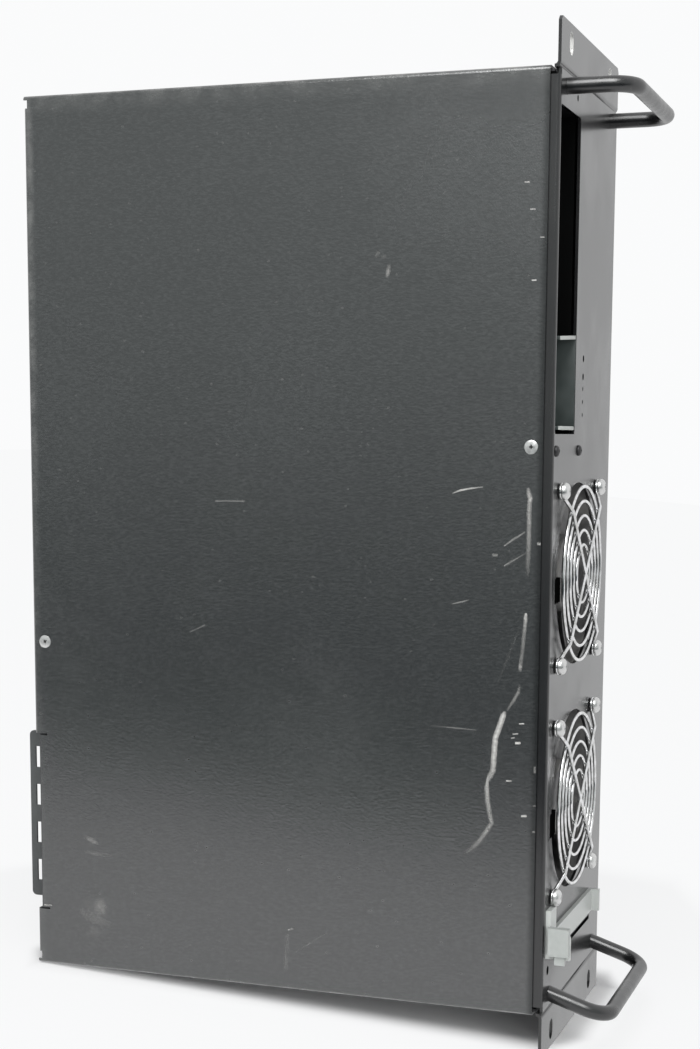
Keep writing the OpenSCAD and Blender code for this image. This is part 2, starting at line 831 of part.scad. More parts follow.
// A point of a blade: u runs from root to tip, v from the front edge to the back edge
function blade_point(u, v, side) =
    let (r = blade_root_r + u * (blade_tip_r - blade_root_r))
    let (turn = blade_turn - blade_ease * u)
    let (a = blade_sweep * u + turn * (v - 0.5) + blade_bow * sin(180 * v))
    let (y = blade_front + blade_t + v * (blade_back - blade_front - 2 * blade_t) + side * blade_t / 2)
    [r * cos(a), y, r * sin(a)];

// A curved blade between two skins that lie blade_t apart along the shaft
module blade() {
    nu = 5;
    nv = 6;
    row = nv + 1;
    skin = (nu + 1) * row;
    points = [for (side = [-1, 1], i = [0 : nu], j = [0 : nv]) blade_point(i / nu, j / nv, side)];
    front = [for (i = [0 : nu - 1], j = [0 : nv - 1])
        let (p = i * row + j)
        each [[p, p + 1, p + row], [p + 1, p + row + 1, p + row]]];
    back = [for (f = front) [f[2] + skin, f[1] + skin, f[0] + skin]];
    rim = concat(
        [for (j = [0 : nv - 1]) [j + 1, j]],
        [for (i = [0 : nu - 1]) [i * row, (i + 1) * row]],
        [for (j = [0 : nv - 1]) [nu * row + j, nu * row + j + 1]],
        [for (i = [0 : nu - 1]) [(i + 1) * row + nv, i * row + nv]]);
    sides = [for (e = rim)
        each [[e[0], e[1], e[0] + skin], [e[1], e[1] + skin, e[0] + skin]]];
    polyhedron(points, concat(front, back, sides));
}

module fan_rotor() {
    difference() {
        bar_y(hub_d, hub_front, hub_front + hub_len);
        bar_y(hub_d - 2 * hub_wall, hub_front + hub_wall, hub_front + hub_len + cut);
    }
    bar_y(shaft_d, hub_front, fan_depth - shaft_end);
    for (i = [0 : blade_count - 1])
        rotate([0, i * 360 / blade_count, 0]) blade();
}

// A wire guard in front of the panel: rings, and struts on them that end in an eye round each screw
module fan_guard() {
    for (i = [0 : ring_count - 1])
        translate([0, -ring_stand, 0])
            rotate([90, 0, 0])
                rotate_extrude()
                    translate([ring_r - i * ring_pitch, 0]) circle(d = wire_d);
    for (a = [45, 135])
        rotate([0, a, 0])
            translate([-kink_r, -strut_y, 0])
                rotate([0, 90, 0]) cylinder(d = wire_d, h = 2 * kink_r);
    for (a = [45 : 90 : 315])
        rotate([0, a, 0]) {
            translate([kink_r, -strut_y, 0]) sphere(d = wire_d + knuckle);
            guard_leg();
            translate([corner_r, -eye_y, 0])
                rotate([90, 0, 0])
                    rotate_extrude()
                        translate([eye_r, 0]) circle(d = wire_d);
        }
}

// The sloping end of a strut, from its kink back to the eye
module guard_leg() {
    run = corner_r - eye_r - kink_r;
    rise = strut_y - eye_y;
    translate([kink_r, -strut_y, 0])
        rotate([0, 0, atan2(rise, run)])
            rotate([0, 90, 0])
                cylinder(d = wire_d, h = norm([run, rise]));
}

// Four screws through the guard's eyes and the panel into the corners of the fan's frame
module guard_screws() {
    at_fan_screws()
        translate([0, -head_y, 0])
            dome_screw(guard_screw_d, guard_head_d, guard_head_h, guard_screw_len);
}

module left_fan_frame() {
    color("#1f2022") at_fan(1, fan_y) fan_frame();
}

module right_fan_frame() {
    color("#1f2022") at_fan(0, fan_y) fan_frame();
}

module left_fan_rotor() {
    color("#2a2b2d") at_fan(1, fan_y) fan_rotor();
}

module right_fan_rotor() {
    color("#2a2b2d") at_fan(0, fan_y) fan_rotor();
}

module left_fan_guard() {
    color("#c9cacc") at_fan(1, front_y) fan_guard();
}

module right_fan_guard() {
    color("#c9cacc") at_fan(0, front_y) fan_guard();
}

module left_guard_screws() {
    color("#d5d6d8") at_fan(1, front_y) guard_screws();
}

module right_guard_screws() {
    color("#d5d6d8") at_fan(0, front_y) guard_screws();
}

// Channel behind the drive bay: screwed to the panel on the left, carried under the rim on the right
module drive_cage() {
    in_left = bay_left - cage_play;
    in_right = bay_right + cage_play;
    wall_h = cage_top - bay_bottom + cage_t;
    color("#2b2c2e")
        difference() {
            union() {
                translate([in_left - cage_t, cage_y, bay_bottom - cage_t])
                    cube([in_right - in_left + 2 * cage_t, cage_d, cage_t]);
                for (x = [in_left - cage_t, in_right])
                    translate([x, cage_y, bay_bottom - cage_t]) cube([cage_t, cage_d, wall_h]);
                translate([in_right, cage_y, cage_top - cage_t])
                    cube([wall_x - sheet - seat_gap - in_right, cage_d, cage_t]);
                translate([in_left - cage_flange_w, lip_y, bay_bottom - cage_flange_drop])
                    cube([cage_flange_w, cage_t, cage_top - bay_bottom + cage_flange_drop]);
                translate([in_left - cage_t, lip_y, bay_bottom - cage_t])
                    cube([cage_t, cage_y - lip_y + cage_t, wall_h]);
            }
            for (z = panel_screw_zs)
                translate([panel_screw_x, 0, z])
                    bar_y(panel_screw_d + screw_play, lip_y - cut, lip_y + cage_t + cut);
            for (y = drive_hole_ys, z = drive_hole_zs)
                translate([in_left - cage_t - cut, cage_y + y, bay_bottom + z])
                    rotate([0, 90, 0])
                        cylinder(d = drive_hole_d, h = in_right - in_left + 2 * (cage_t + cut));
        }
}

// U-shaped bracket on the cage's floor: two upright cheeks joined at the back
module bay_bracket() {
    color("#626766")
        translate([bay_left + cheek_inset, cage_y + bracket_setback, bay_bottom + seat_gap]) {
            for (x = [0, cheek_pitch])
                translate([x, 0, 0]) cube([cheek_t, cheek_d, bracket_h]);
            translate([0, cheek_d - cheek_t, 0]) cube([cheek_pitch + cheek_t, cheek_t, bracket_h]);
        }
}

// Strip on the panel with an ear at each end, where the filter door was hung
module door_bracket() {
    strip_y = front_y - seat_gap - strip_t;
    color("#979a98")
        translate([strip_x, strip_y, 0]) {
            translate([-strip_w / 2, 0, strip_z])
                cube([strip_w, strip_t, strip_top - strip_z]);
            translate([-strip_w / 2, strip_t - lower_ear_d, strip_z])
                cube([strip_w, lower_ear_d, strip_t]);
            translate([-strip_w / 2, strip_t - upper_ear_d, strip_top - strip_t])
                cube([strip_w, upper_ear_d, strip_t]);
            translate([strip_w / 2 - cut, strip_t - tab_d, strip_top - tab_h])
                cube([tab_w + cut, tab_d, tab_h]);
        }
}

// Latch block on the upper ear, with the tongue at its outer side
module door_latch() {
    latch_y = front_y - seat_gap - upper_ear_d;
    color("#aaaeab")
        translate([strip_x + strip_w / 2 + latch_over - latch_w, latch_y, strip_top + seat_gap]) {
            cube([latch_w, latch_d, latch_h]);
            translate([-tongue_len, tongue_inset, tongue_rise]) cube([tongue_len + cut, tongue_w, tongue_t]);
        }
}

module standoffs() {
    color("#b59a4c")
        for (x = standoff_xs, y = standoff_ys)
            translate([x, y, sheet + seat_gap])
                difference() {
                    cylinder(d = standoff_d, h = standoff_h, $fn = 6);
                    translate([0, 0, -cut]) cylinder(d = standoff_bore_d, h = standoff_h + 2 * cut);
                }
}

chassis_tray();
rear_panel();
slot_shelf();
top_cover();
cover_screws();
front_panel();
panel_screws();
left_ear();
right_ear();
ear_screws();
left_handle();
right_handle();
handle_screws();
left_fan_frame();
right_fan_frame();
left_fan_rotor();
right_fan_rotor();
left_fan_guard();
right_fan_guard();
left_guard_screws();
right_guard_screws();
drive_cage();
bay_bracket();
door_bracket();
door_latch();
standoffs();
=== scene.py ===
import math

import bmesh
import bpy
from mathutils import Matrix, Vector


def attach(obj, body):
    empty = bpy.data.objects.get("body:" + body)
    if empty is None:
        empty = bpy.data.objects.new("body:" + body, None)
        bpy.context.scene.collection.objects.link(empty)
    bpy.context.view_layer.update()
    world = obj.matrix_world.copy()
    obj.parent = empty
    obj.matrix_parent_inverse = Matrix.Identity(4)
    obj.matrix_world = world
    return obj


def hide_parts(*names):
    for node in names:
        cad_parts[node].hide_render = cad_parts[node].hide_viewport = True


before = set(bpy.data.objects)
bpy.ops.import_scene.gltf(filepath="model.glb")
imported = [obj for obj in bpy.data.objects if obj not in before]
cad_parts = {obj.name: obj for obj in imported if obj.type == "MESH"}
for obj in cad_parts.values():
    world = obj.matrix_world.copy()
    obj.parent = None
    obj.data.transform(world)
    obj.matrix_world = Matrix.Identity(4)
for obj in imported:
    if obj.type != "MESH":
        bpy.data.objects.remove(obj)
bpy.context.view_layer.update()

# Chassis tray and rear panel: 1.2 mm steel sheet, cut, folded and welded,
# then coated inside and out with black powder paint that bakes to a fine grain.
tray_black, tray_rubbed = (0.018, 0.0185, 0.0205, 1), (0.034, 0.0345, 0.036, 1)
tray_roughs = (0.42, 0.55)
sheet_grains = 1700.0


def shader_group(name, inputs, outputs):
    """A shader node group with number inputs and outputs; returns it with its two end nodes."""
    group = bpy.data.node_groups.new(name, "ShaderNodeTree")
    for label, value in inputs.items():
        socket = group.interface.new_socket(label, in_out="INPUT", socket_type="NodeSocketFloat")
        socket.default_value = value
    for label in outputs:
        group.interface.new_socket(label, in_out="OUTPUT", socket_type="NodeSocketFloat")
    return group, group.nodes.new("NodeGroupInput"), group.nodes.new("NodeGroupOutput")


def feed(tree, socket, value):
    """Links a socket to a value, or sets it where the value is a plain number or colour."""
    if hasattr(value, "is_output"):
        tree.links.new(value, socket)
    else:
        socket.default_value = value


def noise(tree, vector, scale, detail=3.0, rough=0.55):
    """A cloudy pattern between 0 and 1."""
    n = tree.nodes.new("ShaderNodeTexNoise")
    tree.links.new(vector, n.inputs["Vector"])
    feed(tree, n.inputs["Scale"], scale)
    n.inputs["Detail"].default_value = detail
    n.inputs["Roughness"].default_value = rough
    return n.outputs["Fac"]


def stretched(tree, vector, scale):
    """The vector with each axis scaled by its own number."""
    n = tree.nodes.new("ShaderNodeMapping")
    tree.links.new(vector, n.inputs["Vector"])
    n.inputs["Scale"].default_value = scale
    return n.outputs["Vector"]


def remap(tree, value, low, high, new_low=0.0, new_high=1.0):
    """A smooth step from new_low to new_high as the value goes from low to high."""
    n = tree.nodes.new("ShaderNodeMapRange")
    n.interpolation_type = "SMOOTHSTEP"
    tree.links.new(value, n.inputs["Value"])
    ends = {"From Min": low, "From Max": high, "To Min": new_low, "To Max": new_high}
    for label, number in ends.items():
        feed(tree, n.inputs[label], number)
    return n.outputs["Result"]


def reckon(tree, operation, a, b=0.0):
    n = tree.nodes.new("ShaderNodeMath")
    n.operation = operation
    feed(tree, n.inputs[0], a)
    feed(tree, n.inputs[1], b)
    return n.outputs["Value"]


def plus(tree, a, b):
    return reckon(tree, "ADD", a, b)


def times(tree, a, b):
    return reckon(tree, "MULTIPLY", a, b)


def mixed(tree, mask, a, b):
    """Colour a where the mask is 0 and b where it is 1."""
    n = tree.nodes.new("ShaderNodeMix")
    n.data_type = "RGBA"
    # The node has sockets of the same names for numbers and vectors, so its colours go by place
    tree.links.new(mask, n.inputs[0])
    feed(tree, n.inputs[6], a)
    feed(tree, n.inputs[7], b)
    return n.outputs[2]


def here(tree):
    return tree.nodes.new("ShaderNodeTexCoord").outputs["Object"]


def powder_grain_group():
    """Baked powder paint: a fine dense grain and the lighter tips of that grain."""
    inputs, outputs = {"Grains per metre": 1500.0}, ["Height", "Tips"]
    group, start, end = shader_group("powder_grain", inputs, outputs)
    at = here(group)
    per_metre = start.outputs["Grains per metre"]
    coarse = noise(group, at, per_metre, 2.0, 0.5)
    fine = noise(group, at, times(group, per_metre, 2.7), 2.0, 0.6)
    height = plus(group, times(group, coarse, 0.65), times(group, fine, 0.35))
    group.links.new(height, end.inputs["Height"])
    group.links.new(remap(group, height, 0.52, 0.68), end.inputs["Tips"])
    return group


def handling_group():
    """Where hands, shelves and dust have touched: broad patches, and faint streaks along Y."""
    inputs, outputs = {"Patches per metre": 9.0}, ["Patches", "Streaks"]
    group, start, end = shader_group("handling", inputs, outputs)
    at = here(group)
    broad = noise(group, at, start.outputs["Patches per metre"], 4.0, 0.6)
    lines = noise(group, stretched(group, at, (420.0, 14.0, 420.0)), 1.0, 3.0, 0.6)
    group.links.new(remap(group, broad, 0.4, 0.68), end.inputs["Patches"])
    group.links.new(remap(group, lines, 0.45, 0.75), end.inputs["Streaks"])
    return group


powder_grain = powder_grain_group()
handling = handling_group()


def placed(tree, group, **values):
    """Places a node group in a material with its own values."""
    n = tree.nodes.new("ShaderNodeGroup")
    n.node_tree = group
    for label, value in values.items():
        n.inputs[label.replace("_", " ")].default_value = value
    return n.outputs


def finish_of(name, **constants):
    """A new material with its Principled shader; constants are set on the shader's own sockets."""
    material = bpy.data.materials.new(name)
    material.use_nodes = True
    tree = material.node_tree
    shader = tree.nodes["Principled BSDF"]
    for label, value in constants.items():
        shader.inputs[label.replace("_", " ")].default_value = value
    return material, tree, shader


def skin(tree, shader, colour, rough):
    """Joins a surface's colour and roughness to its shader."""
    tree.links.new(colour, shader.inputs["Base Color"])
    tree.links.new(rough, shader.inputs["Roughness"])


def bumped(tree, shader, height, depth, strength):
    n = tree.nodes.new("ShaderNodeBump")
    n.inputs["Distance"].default_value = depth
    n.inputs["Strength"].default_value = strength
    tree.links.new(height, n.inputs["Height"])
    tree.links.new(n.outputs["Normal"], shader.inputs["Normal"])


def powder_paint(name, dark, light, roughs, grains, strength, **constants):
    """Powder paint with a grain, lighter rubbed patches and an uneven gloss."""
    material, tree, shader = finish_of(name, **constants)
    grain = placed(tree, powder_grain, Grains_per_metre=grains)
    patches = placed(tree, handling)["Patches"]
    mask = plus(tree, times(tree, patches, 0.55), times(tree, grain["Tips"], 0.3))
    skin(tree, shader, mixed(tree, mask, dark, light), remap(tree, patches, 0.0, 1.0, *roughs))
    bumped(tree, shader, grain["Height"], 0.0002, strength)
    return material


def dress(material, *names):
    """Gives CAD nodes their material."""
    for name in names:
        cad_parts[name].data.materials.clear()
        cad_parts[name].data.materials.append(material)


tray_paint = powder_paint("tray_powder_paint", tray_black, tray_rubbed, tray_roughs,
                          sheet_grains, 0.35)
dress(tray_paint, "chassis_tray", "rear_panel")

# Slot shelf: a folded strip behind the expansion slots, spot-welded to the
# rear panel and painted with it; it is rubbed grey by card brackets.
shelf_black, shelf_rubbed = (0.056, 0.06, 0.061, 1), (0.125, 0.132, 0.132, 1)
shelf_roughs = (0.38, 0.5)
shelf_paint = powder_paint("shelf_paint", shelf_black, shelf_rubbed, shelf_roughs,
                           sheet_grains, 0.25)
dress(shelf_paint, "slot_shelf")

# Board standoffs: brass hexagon pillars pressed into the base,
# turned from bar, so they keep a fine turned sheen.
brass_dark, brass_light = (0.55, 0.4, 0.15, 1), (0.76, 0.6, 0.28, 1)
brass, tree, shader = finish_of("turned_brass", Metallic=1.0)
turning = noise(tree, stretched(tree, here(tree), (60.0, 60.0, 2600.0)), 1.0, 2.0)
sheen = remap(tree, turning, 0.3, 0.7, 0.24, 0.42)
skin(tree, shader, mixed(tree, turning, brass_dark, brass_light), sheen)
dress(brass, "standoffs")

# Drive cage: a folded channel behind the drive bay; it hangs from the front panel's two screws.
# It is coloured near-black and almost glossless as painted shade, so that the bay looks dark.
cage_shade_black, cage_shade_patchy = (0.0012, 0.0013, 0.0013, 1), (0.003, 0.0032, 0.0032, 1)
cage_roughs = (0.75, 0.9)
cage_shade_paint = powder_paint("cage_painted_shade", cage_shade_black, cage_shade_patchy, cage_roughs,
                          sheet_grains, 0.3, Specular_IOR_Level=0.05)
dress(cage_shade_paint, "drive_cage")

# Bay bracket: a galvanised steel channel screwed into the cage, two cheeks on a thin
# floor. The zinc is dull; the cheeks' front edges, flush with the panel, carry a painted
# highlight, and the right cheek has been pressed inwards at the top.
mm = 0.001
cheek_xs = (58.3, 101.2)
cheek_t = 1.8
cheek_lean = 1.8
bracket_front, bracket_back = -134.8, -101.7
bracket_low, bracket_high = 87.0, 120.0
floor_t = 0.45
bracket_round = 0.15
zinc_dark, zinc_light = (0.02, 0.0265, 0.025, 1), (0.046, 0.056, 0.054, 1)
cheek_edge_highlight = (0.4, 0.418, 0.4, 1)


def axes(tree):
    """The place on the surface as three numbers."""
    n = tree.nodes.new("ShaderNodeSeparateXYZ")
    tree.links.new(here(tree), n.inputs["Vector"])
    return n.outputs["X"], n.outputs["Y"], n.outputs["Z"]


def piece(name, bm, material, body, replaced, angle=35.0):
    """Turns a mesh built in millimetres into a finished piece that rides on a body."""
    bmesh.ops.scale(bm, vec=(mm, mm, mm), verts=bm.verts)
    mesh = bpy.data.meshes.new(name)
    bm.to_mesh(mesh)
    bm.free()
    mesh.materials.append(material)
    mesh.shade_smooth()
    mesh.set_sharp_from_angle(angle=math.radians(angle))
    obj = bpy.data.objects.new(name, mesh)
    bpy.context.scene.collection.objects.link(obj)
    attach(obj, body)
    if replaced:
        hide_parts(*replaced)


def plate(bm, low, high):
    """A flat piece of sheet between two corners."""
    verts = bmesh.ops.create_cube(bm, size=1.0)["verts"]
    bmesh.ops.scale(bm, vec=[b - a for a, b in zip(low, high)], verts=verts)
    bmesh.ops.translate(bm, vec=[(a + b) / 2 for a, b in zip(low, high)], verts=verts)


def rounded(bm, edges, offset):
    bmesh.ops.bevel(bm, geom=edges, offset=offset, segments=2, profile=0.5, affect="EDGES",
                    material=-1)


zinc, tree, shader = finish_of("galvanised_steel")
spangle = tree.nodes.new("ShaderNodeTexVoronoi")
spangle.inputs["Scale"].default_value = 160.0
tree.links.new(here(tree), spangle.inputs["Vector"])
cloud = noise(tree, here(tree), 45.0, 4.0)
grey = plus(tree, times(tree, spangle.outputs["Distance"], 0.5), times(tree, cloud, 0.6))
x, y, z = axes(tree)
# Painted highlight: the cheeks' front edges, above the floor, are coloured pale
front_edge = remap(tree, y, (bracket_front + 0.1) * mm, (bracket_front + 0.4) * mm, 1.0, 0.0)
above_floor = remap(tree, z, (bracket_low + 0.6) * mm, (bracket_low + 1.0) * mm)
colour = mixed(tree, grey, zinc_dark, zinc_light)
colour = mixed(tree, times(tree, front_edge, above_floor), colour, cheek_edge_highlight)
skin(tree, shader, colour, remap(tree, grey, 0.2, 0.8, 0.38, 0.55))

inside = (cheek_xs[0] + cheek_t, cheek_xs[1])
web_front = bracket_back - cheek_t
bm = bmesh.new()
for x in cheek_xs:
    plate(bm, (x, bracket_front, bracket_low), (x + cheek_t, bracket_back, bracket_high))
plate(bm, (inside[0], bracket_front, bracket_low), (inside[1], web_front, bracket_low + floor_t))
plate(bm, (inside[0], web_front, bracket_low), (inside[1], bracket_back, bracket_high))
for v in bm.verts:
    if v.co.x > inside[1] - 0.1 and v.co.z > bracket_low + 1.0:
        v.co.x -= cheek_lean
rounded(bm, bm.edges[:], bracket_round)
piece("bay_channel", bm, zinc, "case", ["bay_bracket"])

# Fan frames: dark glass-filled plastic mouldings, screwed behind the panel through
# their corners; the surface has a fine mould texture and is grey with dust.
fan_xs = {"left": -123.7, "right": -11.4}
fan_z = 75.0
fan_screw_pitch = 82.5
plastic_clean, plastic_dusty = (0.085, 0.085, 0.086, 1), (0.2, 0.197, 0.19, 1)
plastic, tree, shader = finish_of("moulded_plastic", IOR=1.48)
grain = placed(tree, powder_grain, Grains_per_metre=3200.0)
dust = placed(tree, handling, Patches_per_metre=55.0)["Patches"]
colour = mixed(tree, dust, plastic_clean, plastic_dusty)
skin(tree, shader, colour, remap(tree, dust, 0.0, 1.0, 0.3, 0.5))
bumped(tree, shader, grain["Height"], 0.0001, 0.2)
dress(plastic, "left_fan_frame", "right_fan_frame")

# Cable notches: a near-black, glossless block at the edge of each fan hole fills the
# panel's notch, where the fan's wires leave the frame, as painted shade for the dark notch.
# Their corners are measured from the middle of the fan.
notch_block_low, notch_block_high = (-11.4, -134.6, 33.5), (0.4, -132.6, 47.4)
notch_block_round = 0.3
# Near-black painted shade for the blocks in the panel's notches
notch_shade_black, notch_shade_bloom = (0.0015, 0.0015, 0.0015, 1), (0.004, 0.004, 0.004, 1)


def mottled(name, dark, light, roughs, scale, detail=3.0, **constants):
    """A surface whose colour and gloss both follow one cloudy pattern."""
    material, tree, shader = finish_of(name, **constants)
    cloud = noise(tree, here(tree), scale, detail)
    skin(tree, shader, mixed(tree, cloud, dark, light), remap(tree, cloud, 0.3, 0.7, *roughs))
    return material


notch_shade_finish = mottled("notch_painted_shade", notch_shade_black, notch_shade_bloom, (0.7, 0.85), 350.0,
                 Specular_IOR_Level=0.0)
bm = bmesh.new()
for x in fan_xs.values():
    middle = (x, 0, fan_z)
    low = [a + b for a, b in zip(notch_block_low, middle)]
    high = [a + b for a, b in zip(notch_block_high, middle)]
    plate(bm, low, high)
rounded(bm, bm.edges[:], notch_block_round)
piece("notch_shade_blocks", bm, notch_shade_finish, "case", ())

# Fan rotors: a moulded hub with seven curved blades on a steel shaft.
# They turn freely in the frames, so each rides on its own body.
hub_r = 19.0
hub_front, hub_back = -130.45, -113.45
hub_wall = 2.2
hub_round, hub_shoulder = 1.6, 0.5
dish_r, dish_slope, dish_depth = 12.5, 0.5, 0.4
blade_count = 7
blade_root_r, blade_tip_r = 17.9, 43.1
blade_front, blade_back = -129.45, -114.45
blade_t = 1.3
blade_round = 0.4
blade_turn, blade_ease, blade_sweep, blade_bow = 52.0, 8.0, 16.0, 9.0
shaft_r = 1.5
shaft_back = -109.05


def turned(bm, profile, steps):
    """Spins a line of (radius, height) points about Z, as on a lathe."""
    verts = [bm.verts.new((r, 0, h)) for r, h in profile]
    edges = [bm.edges.new(pair) for pair in zip(verts, verts[1:])]
    bmesh.ops.spin(bm, geom=verts + edges, cent=(0, 0, 0), axis=(0, 0, 1),
                   angle=math.tau, steps=steps, use_merge=True)
    bmesh.ops.remove_doubles(bm, verts=bm.verts, dist=0.001)
    bmesh.ops.recalc_face_normals(bm, faces=bm.faces)


def joined(target, source, *places):
    """Adds copies of one mesh to another, one at each place."""
    mesh = bpy.data.meshes.new("copy")
    source.to_mesh(mesh)
    for place in places:
        before = len(target.verts)
        target.from_mesh(mesh)
        target.verts.ensure_lookup_table()
        bmesh.ops.transform(target, matrix=place, verts=target.verts[before:])
    bpy.data.meshes.remove(mesh)


# Turns a part drawn along +Z so that its top faces the front
to_front = Matrix.Rotation(math.radians(90), 4, "X")


def fan_blade():
    """One blade: a grid wrapped round the shaft, twisted, swept and bowed, then thickened."""
    bm = bmesh.new()
    bmesh.ops.create_grid(bm, x_segments=9, y_segments=12, size=0.5)
    for v in bm.verts:
        u, w = v.co.x + 0.5, v.co.y + 0.5
        r = blade_root_r + u * (blade_tip_r - blade_root_r)
        turn = blade_turn - blade_ease * u
        a = math.radians(blade_sweep * u + turn * (w - 0.5) + blade_bow * math.sin(math.pi * w))
        depth = blade_front + blade_t + w * (blade_back - blade_front - 2 * blade_t)
        v.co = (r * math.cos(a), depth, r * math.sin(a))
    bmesh.ops.solidify(bm, geom=bm.faces[:], thickness=blade_t)
    bmesh.ops.recalc_face_normals(bm, faces=bm.faces)
    rounded(bm, [e for e in bm.edges if e.calc_face_angle(0) > math.radians(50)], blade_round)
    return bm


def fan_rotor():
    bm = bmesh.new()
    front, back, shaft_end = -hub_front, -hub_back, -shaft_back
    inner_r, inner_front = hub_r - hub_wall, front - hub_wall
    turned(bm, [(0, front - dish_depth), (dish_r, front - dish_depth), (dish_r + dish_slope, front),
                (hub_r - hub_round, front), (hub_r - hub_shoulder, front - hub_shoulder),
                (hub_r, front - hub_round), (hub_r, back), (inner_r, back), (inner_r, inner_front),
                (shaft_r, inner_front), (shaft_r, shaft_end), (0, shaft_end)], 64)
    bmesh.ops.transform(bm, matrix=to_front, verts=bm.verts)
    blade = fan_blade()
    pitch = math.tau / blade_count
    joined(bm, blade, *[Matrix.Rotation(i * pitch, 4, "Y") for i in range(blade_count)])
    blade.free()
    return bm


for side, x in fan_xs.items():
    bm = fan_rotor()
    bmesh.ops.translate(bm, vec=(x, 0, fan_z), verts=bm.verts)
    rotor = [side + "_fan_rotor"]
    piece(side + "_fan_wheel", bm, plastic, side + "_rotor", rotor, 40.0)

# Front panel and rack ears: 1.5 mm steel, folded, in a smooth satin black that
# shines at a flat angle; the ears are screwed to the side walls.
# The right ear's slot walls are painted pale: painted light for the white backdrop seen through its
# slots.
satin_black, satin_rubbed = (0.007, 0.0072, 0.0078, 1), (0.014, 0.0142, 0.0146, 1)
satin_roughs = (0.2, 0.27)
fine_grains = 2600.0
slot_light_pale = (0.62, 0.62, 0.6, 1)
slot_x, slot_middle_z, slot_half_pitch = 232.55, 66.25, 44.45
slot_r, slot_straight = 3.5, 1.5
panel_paint, ear_paint = (
    powder_paint(name, satin_black, satin_rubbed, satin_roughs, fine_grains, 0.05, IOR=1.7)
    for name in ("panel_satin_paint", "ear_paint_slot_light"))
dress(panel_paint, "front_panel")

tree = ear_paint.node_tree
shader = tree.nodes["Principled BSDF"]
x, y, z = axes(tree)
# Painted light: a patchy pale band on the walls of the right ear's slots, none on the left ear
along = reckon(tree, "SUBTRACT", reckon(tree, "ABSOLUTE", x), slot_x * mm)
along = reckon(tree, "SUBTRACT", reckon(tree, "ABSOLUTE", along), slot_straight * mm)
along = reckon(tree, "MAXIMUM", along, 0.0)
across = reckon(tree, "ABSOLUTE", reckon(tree, "SUBTRACT", z, slot_middle_z * mm))
across = reckon(tree, "SUBTRACT", across, slot_half_pitch * mm)
away = reckon(tree, "SQRT", plus(tree, times(tree, along, along), times(tree, across, across)))
slot_light = remap(tree, away, (slot_r + 0.05) * mm, (slot_r + 0.35) * mm, 1.0, 0.0)
slot_light = times(tree, slot_light, remap(tree, noise(tree, here(tree), 500.0), 0.3, 0.5, 0.6, 1.0))
slot_light = times(tree, slot_light, remap(tree, x, -0.1, 0.1, 0.0, 1.0))
painted = shader.inputs["Base Color"].links[0].from_socket
tree.links.new(mixed(tree, slot_light, painted, slot_light_pale), shader.inputs["Base Color"])
dress(ear_paint, "left_ear", "right_ear")

# Small black screws: pan heads with a cross recess, black oxide finish. Two hold
# the drive cage behind the panel, three hold each ear, one is in each handle leg.
panel_face = -135.05
panel_screw_x, panel_screw_zs = 48.55, (76.95, 125.45)
ear_face_x, ear_screw_y, ear_screw_zs = 220.35, -114.0, (18.0, 62.0, 106.0)
oxide_dark, oxide_light = (0.012, 0.012, 0.013, 1), (0.05, 0.05, 0.052, 1)
# A pan head's outline, as shares of its radius and height
pan_dome = ((0, 1), (0.35, 0.985), (0.62, 0.9), (0.82, 0.73), (0.95, 0.46), (1, 0.2))
pan_rim, pan_under = 0.05, 0.1
# The recess: its width and depth as shares of the head, its wings' thickness, and its narrow foot
recess_width, recess_depth = 0.52, 0.55
wing_share, foot_shares = 0.24, (0.35, 0.6, 1)
black_oxide = mottled("black_oxide", oxide_dark, oxide_light, (0.28, 0.5), 900.0, Metallic=0.4)


def carved(bm, cutter):
    """The first mesh with the second cut out of it."""
    objects = []
    for source in (bm, cutter):
        mesh = bpy.data.meshes.new("carving")
        source.to_mesh(mesh)
        source.free()
        objects.append(bpy.data.objects.new("carving", mesh))
        bpy.context.scene.collection.objects.link(objects[-1])
    cut = objects[0].modifiers.new("cut", "BOOLEAN")
    cut.operation = "DIFFERENCE"
    cut.solver = "EXACT"
    cut.use_self = True
    cut.object = objects[1]
    result = bmesh.new()
    result.from_object(objects[0], bpy.context.evaluated_depsgraph_get())
    for obj in objects:
        bpy.data.meshes.remove(obj.data)
    return result


def cross_recess(width, top, depth):
    """A tapered cross, wide end up, that cuts a screw's drive recess."""
    bm = bmesh.new()
    for turn in (0, 90):
        verts = bmesh.ops.create_cube(bm, size=1.0)["verts"]
        bmesh.ops.scale(bm, vec=(width, width * wing_share, depth * 2), verts=verts)
        bmesh.ops.scale(bm, vec=foot_shares, verts=[v for v in verts if v.co.z < 0])
        bmesh.ops.rotate(bm, matrix=Matrix.Rotation(math.radians(turn), 3, "Z"), verts=verts)
        bmesh.ops.translate(bm, vec=(0, 0, top), verts=verts)
    return bm


def pan_screw(head_d, head_h, shank_d, shank_len):
    """A pan-head screw along Z: its head stands on z = 0 and its shank goes down."""
    r, shank_r = head_d / 2, shank_d / 2
    dome = [(r * across, head_h * up) for across, up in pan_dome]
    seat = [(r, pan_rim), (r - pan_under, 0)]
    shank = [(shank_r, 0), (shank_r, -shank_len), (0, -shank_len)]
    bm = bmesh.new()
    turned(bm, dome + seat + shank, 32)
    return carved(bm, cross_recess(head_d * recess_width, head_h, head_h * recess_depth))


panel_screw = pan_screw(head_d=5.2, head_h=1.6, shank_d=3.0, shank_len=4.5)
bm = bmesh.new()
for z in panel_screw_zs:
    joined(bm, panel_screw, Matrix.Translation((panel_screw_x, panel_face, z)) @ to_front)
panel_screw.free()
piece("cage_screws", bm, black_oxide, "case", ["panel_screws"])

ear_screw = pan_screw(head_d=6.0, head_h=2.0, shank_d=3.0, shank_len=4.7)
bm = bmesh.new()
for side in (-1, 1):
    outwards = Matrix.Rotation(math.radians(90 * side), 4, "Y")
    for z in ear_screw_zs:
        joined(bm, ear_screw, Matrix.Translation((ear_face_x * side, ear_screw_y, z)) @ outwards)
ear_screw.free()
piece("ear_side_screws", bm, black_oxide, "case", ["ear_screws"])
dress(black_oxide, "handle_screws")

